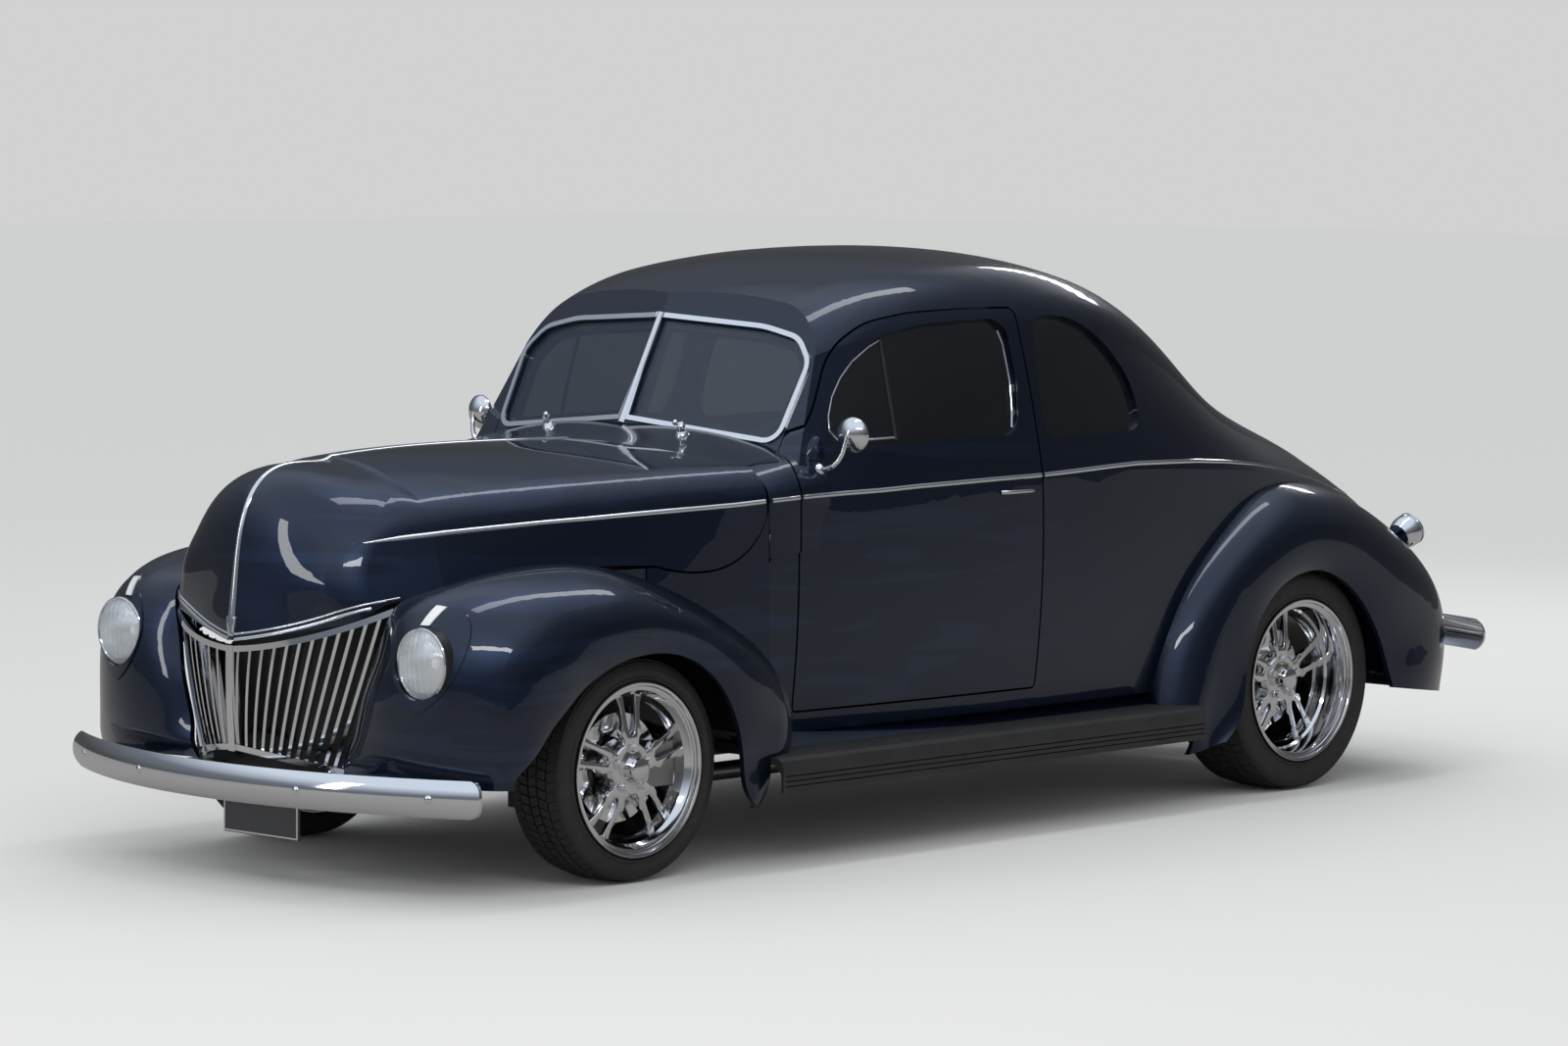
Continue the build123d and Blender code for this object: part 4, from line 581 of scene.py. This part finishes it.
# Grille header: a pair of plated beads along the hood's lower front edge,
# from the prow out to the fender on each side.
EDGE_HEIGHT, EDGE_REACH, EDGE_SLOPE, EDGE_CURVE = 0.634, 0.418, 0.055, 0.059
HEADER_START, HEADER_LENGTH, HEADER_STEPS = 0.012, 0.395, 29
for hand, side in HANDS:
    for bead, lift, wide in (("lower", 0.024, 0.009), ("upper", 0.038, 0.006)):
        stations = []
        for step in range(HEADER_STEPS + 1):
            y = HEADER_START + HEADER_LENGTH * step / HEADER_STEPS
            share = y / EDGE_REACH
            edge = EDGE_HEIGHT + (EDGE_SLOPE * share + EDGE_CURVE * share * share)
            spot, facing = touch("hood", (2.6, side * y, edge + lift), BACK)
            if spot is not None:
                stations.append((spot - facing * BEDDED, facing, wide, 0.004))
        form = bmesh.new()
        swept(form, stations)
        mesh_piece(f"grille_header_{bead}_{hand}", form, chrome, "hood_body")

# Windshield divider: a plated cover strip screwed over the joint of the
# two panes, flared a little at its foot.
SCREEN_RAKE = math.radians(27.7)
SCREEN_FOOT, SCREEN_HEAD = Vector((0.8455, 0, 1.178)), Vector((0.6835, 0, 1.4865))
STRIP_WIDE, STRIP_HIGH, FOOT_FLARE = 0.021, 0.010, 0.005
outward = Vector((math.cos(SCREEN_RAKE), 0, math.sin(SCREEN_RAKE)))
stations = []
for share in (step / 12 for step in range(13)):
    stations.append((SCREEN_FOOT.lerp(SCREEN_HEAD, share) + outward * 0.001, outward,
                     STRIP_WIDE + FOOT_FLARE * (1 - share) ** 3, STRIP_HIGH))
form = bmesh.new()
swept(form, stations)
mesh_piece("windshield_divider", form, chrome, "root")

# Door window furniture: the bright frame of the pivoting vent pane, the
# dark bar behind it and the bright run channel at the back. All three are
# followed along their middles, in points of (x, z), on the outside of the pane.
window_rubber = Finish("window_rubber", (0.012, 0.012, 0.012), 0.0, 0.6)
window_rubber.set("Roughness", 0.5 + window_rubber.noise(60, 3.0) * 0.25)
VENT_FRAME = [(0.425, 1.150), (0.560, 1.146), (0.640, 1.150), (0.662, 1.175), (0.655, 1.215), (0.628, 1.268),
              (0.585, 1.320), (0.533, 1.364), (0.462, 1.404), (0.418, 1.421)]
VENT_BAR = [(0.428, 1.141), (0.424, 1.290), (0.414, 1.432)]
REAR_CHANNEL = [(-0.046, 1.160), (-0.058, 1.210), (-0.070, 1.290), (-0.070, 1.400), (-0.060, 1.436)]
for name, points, wide, high, finish in (
    ("vent_frame", VENT_FRAME, 0.008, 0.004, chrome),
    ("vent_bar", VENT_BAR, 0.012, 0.006, window_rubber),
    ("rear_channel", REAR_CHANNEL, 0.006, 0.004, chrome),
):
    quarters = [(x1 + (x2 - x1) * part / 4, z1 + (z2 - z1) * part / 4)
                for (x1, z1), (x2, z2) in zip(points, points[1:]) for part in range(4)]
    for hand, side in HANDS:
        spots = [touch_side(f"door_glass_{hand}", side, x, z) for x, z in quarters + points[-1:]]
        form = bmesh.new()
        swept(form, [(spot, facing, wide, high) for spot, facing in spots if spot is not None])
        mesh_piece(f"{name}_{hand}", form, finish, f"door_{hand}_body")

# Wiper posts: plated cast towers on the cowl, each with a domed nut and
# the ball end of a short spindle.
for hand, side in HANDS:
    form = bmesh.new()
    for low, tall, radius1, radius2 in ((0.0, 0.014, 0.022, 0.013), (0.013, 0.020, 0.012, 0.010),
                                        (0.031, 0.010, 0.014, 0.006)):
        turned_cone(form, low, tall, radius1, radius2, segments=32)
    ball = bmesh.ops.create_uvsphere(form, u_segments=20, v_segments=12, radius=0.0085)["verts"]
    bmesh.ops.translate(form, vec=(0.010, -side * 0.012, 0.040), verts=ball)
    bmesh.ops.bevel(form, geom=[edge for edge in form.edges if edge.calc_face_angle(0) > 0.7], offset=0.0012,
                    segments=2, offset_type="OFFSET", profile=0.5, affect="EDGES", clamp_overlap=True, material=-1)
    spot, facing = touch("body_shell", (0.872, side * 0.270, 1.6), DOWN)
    bmesh.ops.rotate(form, cent=(0, 0, 0), matrix=UP.rotation_difference(facing).to_matrix(), verts=form.verts[:])
    bmesh.ops.translate(form, vec=spot - facing * 0.002, verts=form.verts[:])
    mesh_piece(f"wiper_post_{hand}", form, chrome, "root")

# Bumper bolts: polished domed heads, four along the front bar and four
# along the rear one.
for end, heading, height in (("front", BACK, 0.288), ("rear", -BACK, 0.418)):
    form = bmesh.new()
    for y in (-0.700, -0.320, 0.320, 0.700):
        spot, facing = touch(f"{end}_bumper", (-3.0 * heading.x, y, height), heading)
        head = bmesh.ops.create_uvsphere(form, u_segments=24, v_segments=12, radius=0.0115)["verts"]
        bmesh.ops.scale(form, vec=(1, 1, 0.5), verts=head)
        bmesh.ops.rotate(form, cent=(0, 0, 0), matrix=UP.rotation_difference(facing).to_matrix(), verts=head)
        bmesh.ops.translate(form, vec=spot - facing * 0.001, verts=head)
    mesh_piece(f"{end}_bumper_bolts", form, chrome, "root")


# Door and deck handles: plated castings that stand off the panel between
# two short feet, screwed through from behind.
HANDLE_STEPS, HANDLE_THICK = 12, 0.007


def handle(name, body, spots, rise, wide):
    """A grip over a row of (spot, facing) on its panel."""
    stations = []
    for step, (spot, facing) in enumerate(spots):
        stand = rise * math.sin(math.pi * step / HANDLE_STEPS) ** 0.4 if 0 < step < HANDLE_STEPS else 0.0
        stations.append((spot + facing * stand, facing, wide, HANDLE_THICK))
    form = bmesh.new()
    swept(form, stations)
    mesh_piece(name, form, chrome, body)


shares = [step / HANDLE_STEPS for step in range(HANDLE_STEPS + 1)]
for hand, side in HANDS:
    handle(f"door_handle_{hand}", f"door_{hand}_body",
           [touch_side(f"door_{hand}", side, 0.045 - 0.135 * share, 0.978) for share in shares], 0.012, 0.013)
handle("deck_handle", "deck_lid_body",
       [touch("deck_lid", (-2.9, -0.055 + 0.110 * share, 0.870), -BACK) for share in shares], 0.014, 0.014)

# Headlamps: sealed round units with a bright bowl and a bulb behind fluted
# glass, each in a thin plated ring, and a frosted side lamp above it.
LAMP_X, LAMP_Y, LAMP_Z = 2.178, 0.612, 0.630
LENS_REACH = 0.0965
lamp_glass = Finish("clear_glass", (0.80, 0.84, 0.88), 0.0, 0.05, Alpha=0.34, Specular_IOR_Level=1.0, Coat_Weight=1.0)
lamp_glass.set("Roughness", 0.03 + lamp_glass.noise(40, 2.0) * 0.06)
flutes = lamp_glass.node("ShaderNodeTexWave", {"wave_type": "BANDS", "bands_direction": "Y", "wave_profile": "SIN"},
                         Vector=lamp_glass.place(), Scale=16.0)
lamp_glass.bump(flutes, 0.5, 0.004)
frosted = Finish("side_lamp_glass", (0.86, 0.88, 0.90), 0.0, 0.3, Coat_Weight=0.6)
frosted.set("Roughness", 0.24 + frosted.noise(90, 2.0) * 0.12)
bowl_plate = Finish("lamp_bowl", (0.93, 0.94, 0.95), 1.0, 0.22)
bowl_plate.set("Roughness", 0.18 + bowl_plate.noise(50, 2.0) * 0.1)


def spun_about(form, profile, place, along, steps=48):
    """A turned form at a place, whose profile is (distance along its line, radius) points."""
    start = set(form.verts)
    verts, edges = chain(form, [(0, radius, run) for run, radius in profile])
    bmesh.ops.spin(form, geom=verts + edges, cent=(0, 0, 0), axis=(0, 0, 1), dvec=(0, 0, 0), angle=math.tau,
                   steps=steps, use_merge=True, use_duplicate=False)
    made = [vert for vert in form.verts if vert not in start]
    turn = UP.rotation_difference(Vector(along).normalized()).to_matrix()
    bmesh.ops.rotate(form, cent=(0, 0, 0), matrix=turn, verts=made)
    bmesh.ops.translate(form, vec=place, verts=made)
    bmesh.ops.remove_doubles(form, verts=made, dist=1e-6)
    bmesh.ops.recalc_face_normals(form, faces=form.faces[:])


dress(lamp_glass, "clear_glass", "headlamps")
dress(body_paint, "body_paint", "headlamp_bezels")
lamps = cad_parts["headlamps"].data
lamps.materials.append(frosted.mat)
lamps.materials.append(black_paint.mat)
for face in lamps.polygons:
    away = math.hypot(abs(face.center.y) - LAMP_Y, face.center.z - LAMP_Z)
    if away > LENS_REACH and face.center.x > 2.03:
        face.material_index = 1
    elif face.normal.x < 0.3:
        face.material_index = 2
for hand, side in HANDS:
    for part, finish, profile in (
        ("bowl", bowl_plate, [(-0.150, 0.0), (-0.148, 0.020), (-0.120, 0.050), (-0.075, 0.074), (-0.020, 0.087),
                              (0.001, 0.0895), (0.000, 0.0905), (-0.022, 0.0885)]),
        ("ring", chrome, [(-0.004, 0.0932), (0.004, 0.0945), (0.0065, 0.0925), (0.006, 0.0885), (0.003, 0.0870),
                          (0.0015, 0.0885)]),
    ):
        form = bmesh.new()
        spun_about(form, profile, (LAMP_X, side * LAMP_Y, LAMP_Z), -BACK, steps=72)
        mesh_piece(f"headlamp_{part}_{hand}", form, finish, "root")
    form = bmesh.new()
    bulb = bmesh.ops.create_uvsphere(form, u_segments=24, v_segments=16, radius=0.017)["verts"]
    bmesh.ops.translate(form, vec=(LAMP_X - 0.055, side * LAMP_Y, LAMP_Z), verts=bulb)
    mesh_piece(f"headlamp_bulb_{hand}", form, frosted, "root")

# Running boards: pressed steel under black ribbed rubber, eleven ribs along
# the tread and three on the turned-down edge. A painted apron closes the
# gap between each board and the sill.
board_rubber = Finish("board_rubber", (0.020, 0.020, 0.021), 0.0, 0.5)
board_rubber.set("Base Color", board_rubber.shade(board_rubber.noise(12, 6.0), (0.013, 0.013, 0.014),
                                                  (0.030, 0.029, 0.028)))
board_rubber.set("Roughness", 0.42 + board_rubber.noise(22, 4.0) * 0.22)
board_rubber.bump(board_rubber.noise(500, 3.0), 0.2, 0.0005)
dress(board_rubber, "board_rubber", "running_boards")
RIB = [(-0.5, -0.2), (-0.36, 0.8), (-0.2, 1.0), (0.2, 1.0), (0.36, 0.8), (0.5, -0.2)]
RIB_ENDS = (1.058, -0.744)
BOARD_TOP, BOARD_EDGE = 0.3080, 0.8545
TREAD_RIBS, FIRST_RIB, RIB_PITCH = 11, 0.706, 0.0122
EDGE_RIB_HEIGHTS = (0.258, 0.244, 0.230)
for hand, side in HANDS:
    form = bmesh.new()
    for number in range(TREAD_RIBS):
        y = side * (FIRST_RIB + RIB_PITCH * number)
        swept(form, [(Vector((x, y, BOARD_TOP)), UP, 0.0068, 0.0030) for x in RIB_ENDS], RIB)
    for z in EDGE_RIB_HEIGHTS:
        swept(form, [(Vector((x, side * BOARD_EDGE, z)), Vector((0, side, 0)), 0.0070, 0.0015) for x in RIB_ENDS], RIB)
    mesh_piece(f"board_ribs_{hand}", form, board_rubber, "root")
    form = bmesh.new()
    apron = [form.verts.new((x, side * y, z)) for x, y, z in
             ((1.066, 0.652, 0.352), (-0.750, 0.652, 0.352), (-0.750, 0.700, 0.3065), (1.066, 0.700, 0.3065))]
    grown = bmesh.ops.extrude_face_region(form, geom=[form.faces.new(apron)])["geom"]
    bmesh.ops.translate(form, vec=(0, 0, -0.004), verts=[v for v in grown if isinstance(v, bmesh.types.BMVert)])
    bmesh.ops.recalc_face_normals(form, faces=form.faces[:])
    mesh_piece(f"sill_apron_{hand}", form, body_paint, "root", smooth=0.3)

# Number plate: a flat pressed plate, painted dark, held in a raised and
# plated rim below the front bumper.
plate_dark = Finish("plate_white", (0.045, 0.046, 0.05), 0.0, 0.4)
plate_dark.set("Roughness", 0.34 + plate_dark.noise(30, 3.0) * 0.15)
dress(plate_dark, "plate_white", "number_plate")
PLATE_X, PLATE_Z = 2.2000, 0.174
PLATE_HALF_WIDE, PLATE_HALF_HIGH = 0.150, 0.050
RIM_SECTION = ((0.0, 0.0), (0.0040, 0.0008), (0.0040, 0.0052), (0.0, 0.0060))
form = bmesh.new()
skinned(form, [[(PLATE_X + proud, y * (PLATE_HALF_WIDE - inset), PLATE_Z + z * (PLATE_HALF_HIGH - inset))
                for y, z in ((1, 1), (-1, 1), (-1, -1), (1, -1))] for proud, inset in RIM_SECTION], closed=True)
mesh_piece("plate_rim", form, chrome, "root")

# Steering wheel: a dark moulded rim on three polished spokes, with a
# plated horn button.
trim_plastic = Finish("trim_plastic", (0.020, 0.024, 0.032), 0.0, 0.22, Coat_Weight=0.6)
trim_plastic.set("Roughness", 0.18 + trim_plastic.noise(40, 3.0) * 0.12)
dress(trim_plastic, "trim_plastic", "steering_wheel")
WHEEL_CENTRE, RIM_INSIDE = Vector((0.452, 0.36, 1.010)), 0.172
wheel_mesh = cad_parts["steering_wheel"].data
wheel_mesh.materials.append(chrome.mat)
for face in wheel_mesh.polygons:
    if (face.center - WHEEL_CENTRE).length < RIM_INSIDE:
        face.material_index = 1

# Instruments: two round dials in front of the driver and a clock in the
# middle of the dashboard, each let in behind a plated rim.
dial_face = Finish("dial_face", (0.55, 0.54, 0.50), 0.0, 0.35)
dial_face.set("Roughness", 0.3 + dial_face.noise(80, 2.0) * 0.1)
DIAL_RADIUS = 0.045
form, rims = bmesh.new(), bmesh.new()
for y in (0.300, 0.420, 0.0):
    spot, facing = touch("dashboard", (-0.2, y, 1.020), -BACK)
    disc = turned_cone(form, -0.002, 0.004, DIAL_RADIUS, DIAL_RADIUS, segments=48)
    bmesh.ops.rotate(form, cent=(0, 0, 0), matrix=UP.rotation_difference(facing).to_matrix(), verts=disc)
    bmesh.ops.translate(form, vec=spot + facing * 0.001, verts=disc)
    spun_about(rims, [(0.0, DIAL_RADIUS), (0.005, 0.046), (0.006, 0.049), (0.0, 0.052)], spot, facing)
mesh_piece("dials", form, dial_face, "root")
mesh_piece("dial_rims", rims, chrome, "root")

# Tail pipes: plated tips of thin steel tube with a rolled lip, pushed over
# the ends of the two exhaust pipes and clamped there.
TIP_X, TIP_Y, TIP_Z = -2.195, 0.225, 0.185
form = bmesh.new()
for side in (-1, 1):
    spun_about(form, [(0.02, 0.0272), (-0.11, 0.0290), (-0.114, 0.0275), (-0.112, 0.0255), (0.0, 0.0250)],
               (TIP_X, side * TIP_Y, TIP_Z), -BACK, steps=40)
mesh_piece("exhaust_tips", form, chrome, "root")

# Mirrors: a round plated head with a flat looking glass, on a curved arm
# that stands on the door's corner by a domed foot.
ROUND = [(math.cos(math.tau * k / 16), math.sin(math.tau * k / 16)) for k in range(16)]
MIRROR_ARM = [(0.712, 0.754, 1.172), (0.716, 0.754, 1.158), (0.720, 0.751, 1.138), (0.724, 0.746, 1.118),
              (0.728, 0.736, 1.100), (0.733, 0.722, 1.085), (0.736, 0.706, 1.078), (0.738, 0.690, 1.074)]
MIRROR_ARM_RADII = [0.0058 + 0.0003 * step for step in range(len(MIRROR_ARM))]
for hand, side in HANDS:
    form = bmesh.new()
    swept(form, [(Vector((x, side * y, z)), -BACK, radius, radius)
                 for (x, y, z), radius in zip(MIRROR_ARM, MIRROR_ARM_RADII)], ROUND)
    spun_about(form, [(0.002, 0.0), (0.002, 0.0435), (0.0, 0.0450), (0.0, 0.0470), (0.003, 0.0500), (0.009, 0.0510),
                      (0.0145, 0.0500), (0.022, 0.0440), (0.030, 0.0330), (0.036, 0.0200), (0.0395, 0.0090),
                      (0.040, 0.0)], (0.677, side * 0.751, 1.171), (0.97, side * 0.12, -0.05))
    spot, facing = touch_side(f"door_{hand}", side, 0.738, 1.074)
    spun_about(form, [(0.0, 0.0), (0.0, 0.0160), (0.003, 0.0158), (0.006, 0.0130), (0.010, 0.0095), (0.016, 0.0)],
               spot, facing)
    mirror = mesh_piece(f"door_mirror_{hand}", form, chrome, f"door_{hand}_body")
    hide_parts(f"mirror_{hand}")

# Tail lamps: round plated pods that swell out of the rear fenders, each with
# a domed and ringed red lens held by a bright rim.
red_lens = Finish("tail_lens", (0.42, 0.008, 0.010), 0.0, 0.12, Coat_Weight=1.0)
red_lens.set("Roughness", 0.10 + red_lens.noise(60, 2.0) * 0.08)
DOME_RADIUS, DOME_RISE = 0.045, 0.0122
LENS_RADII = [0.0445, 0.041, 0.0375, 0.034, 0.0305, 0.027, 0.0235, 0.020]
pods, lenses = bmesh.new(), bmesh.new()
for side in (1, -1):
    place, axis = (-1.968, side * 0.640, 0.735), (-0.92, side * 0.1, 0.38)
    spun_about(pods, [(0.0, 0.0), (0.0, 0.0400), (0.010, 0.0450), (0.022, 0.0495), (0.034, 0.0516), (0.050, 0.0520),
                      (0.0575, 0.0505), (0.0580, 0.0520), (0.0640, 0.0520), (0.0660, 0.0505), (0.0655, 0.0480),
                      (0.0600, 0.0475), (0.0600, 0.0)], place, axis)
    ridges = [(0.0675 + DOME_RISE * (1 - (radius / DOME_RADIUS) ** 2) ** 0.5 + (0.0006 if k % 2 else 0.0), radius)
              for k, radius in enumerate(LENS_RADII)]
    spun_about(lenses, [(0.0605, 0.0), (0.0610, 0.0470)] + ridges + [(0.0790, 0.0120), (0.0798, 0.0)], place, axis)
tail_pods = mesh_piece("tail_pods", pods, chrome, "root")
mesh_piece("tail_lenses", lenses, red_lens, "root")
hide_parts("tail_lamps")

# Bench seat: a wide cushion and a raked back, each a stuffed pad under dark
# leather, sewn in upright channels and rolled at the edges.
seat_leather = Finish("seat_leather", (0.050, 0.044, 0.040), 0.0, 0.45)
seat_leather.set("Base Color", seat_leather.shade(seat_leather.noise(9, 5.0), (0.040, 0.034, 0.031),
                                                  (0.066, 0.058, 0.052)))
seat_leather.set("Roughness", 0.38 + seat_leather.noise(30, 4.0) * 0.2)
grain = seat_leather.node("ShaderNodeTexVoronoi", {}, Vector=seat_leather.place(), Scale=420.0)
seat_leather.bump(grain, 0.25, 0.0006)
SEAT_WIDE = 1.10
CHANNELS, CHANNEL_DEPTH = 11, 0.010
BACK_RAKE = math.radians(90 - 18.5)


def stuffed(form, size, roll, crown, place, tilt):
    """A rolled-edge pad, crowned on its +Z face, with sewn channels across that face."""
    made = bmesh.ops.create_cube(form, size=2.0)["verts"]
    edges = list({edge for vert in made for edge in vert.link_edges})
    bmesh.ops.subdivide_edges(form, edges=edges, cuts=47, use_grid_fill=True)
    pad = [vert for vert in form.verts if not vert.tag]
    half = Vector(size) / 2
    for vert in pad:
        vert.tag = True
        outer = Vector(vert.co[k] * half[k] for k in range(3))
        inner = Vector(max(roll - half[k], min(half[k] - roll, outer[k])) for k in range(3))
        away = outer - inner
        point = inner + away * (roll / away.length)
        lift = max(0.0, point.z / half.z) * (1 - (point.x / half.x) ** 2) * (1 - (point.y / half.y) ** 4)
        phase = (point.y / size[1] + 0.5) * CHANNELS
        point.z += lift * crown
        if 0.4 < phase < CHANNELS - 0.4 and point.z > 0:
            point.z -= CHANNEL_DEPTH * math.exp(-((phase - round(phase)) * 9) ** 2) * min(1.0, lift * 3)
        vert.co = point
    bmesh.ops.rotate(form, cent=(0, 0, 0), matrix=Matrix.Rotation(tilt, 3, "Y"), verts=pad)
    bmesh.ops.translate(form, vec=place, verts=pad)


form = bmesh.new()
stuffed(form, (0.555, SEAT_WIDE, 0.235), 0.045, 0.016, (0.083, 0, 0.508), 0.0)
stuffed(form, (0.600, SEAT_WIDE, 0.100), 0.040, 0.012, (-0.291, 0, 0.735), BACK_RAKE)
bmesh.ops.recalc_face_normals(form, faces=form.faces[:])
bench = mesh_piece("bench_seat", form, seat_leather, "root", smooth=0)
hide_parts("seat")

# Tail panel: the pressed sheet that closes the body between the rear
# fenders under the deck lid, rolled in at its lower edge.
PAN_X, PAN_Z, PAN_HALF_WIDE = -2.1325, 0.552, 0.350
PAN_PRESSING = [(-0.100, -0.034), (-0.0985, -0.012), (-0.090, -0.003), (-0.078, 0.0), (0.060, 0.0), (0.140, -0.001),
                (0.140, -0.003), (0.060, -0.002), (-0.078, -0.002), (-0.0885, -0.005), (-0.0965, -0.0125),
                (-0.098, -0.034)]
form = bmesh.new()
swept(form, [(Vector((PAN_X, PAN_HALF_WIDE * (step / 10 - 1), PAN_Z)), BACK, 1.0, 1.0) for step in range(21)],
      PAN_PRESSING)
mesh_piece("tail_panel", form, body_paint, "root", smooth=0.9)

# Splash panels: plain painted sheets behind the fender's inner edge, under
# the hood's side and ahead of the door's front pillar.
SHEET_THICK = 0.002
# Each row holds x, y, the top and the bottom of a sheet there.
COWL_SHEET = [(0.944, 0.6845, 0.645, 0.47), (1.04, 0.6645, 0.645, 0.47), (1.13, 0.6425, 0.645, 0.47)]
HOOD_SHEET_START, HOOD_SHEET_PITCH, HOOD_SKIRT = 1.322, 0.036, 0.846
for hand, side in HANDS:
    hood_sheet = []
    for step in range(9):
        x = HOOD_SHEET_START + HOOD_SHEET_PITCH * step
        spot, facing = touch_side("hood", side, x, HOOD_SKIRT)
        if spot is not None:
            hood_sheet.append((x, abs(spot.y) - 0.004, 0.8275 - (x - 1.3) * 0.012, 0.740))
    form = bmesh.new()
    for sheet in (hood_sheet, COWL_SHEET):
        skinned(form, [[(x, side * (y - inset), z)
                        for inset, z in ((0, top), (0, low), (SHEET_THICK, low), (SHEET_THICK, top))]
                       for x, y, top, low in sheet])
    mesh_piece(f"splash_panels_{hand}", form, body_paint, "root")
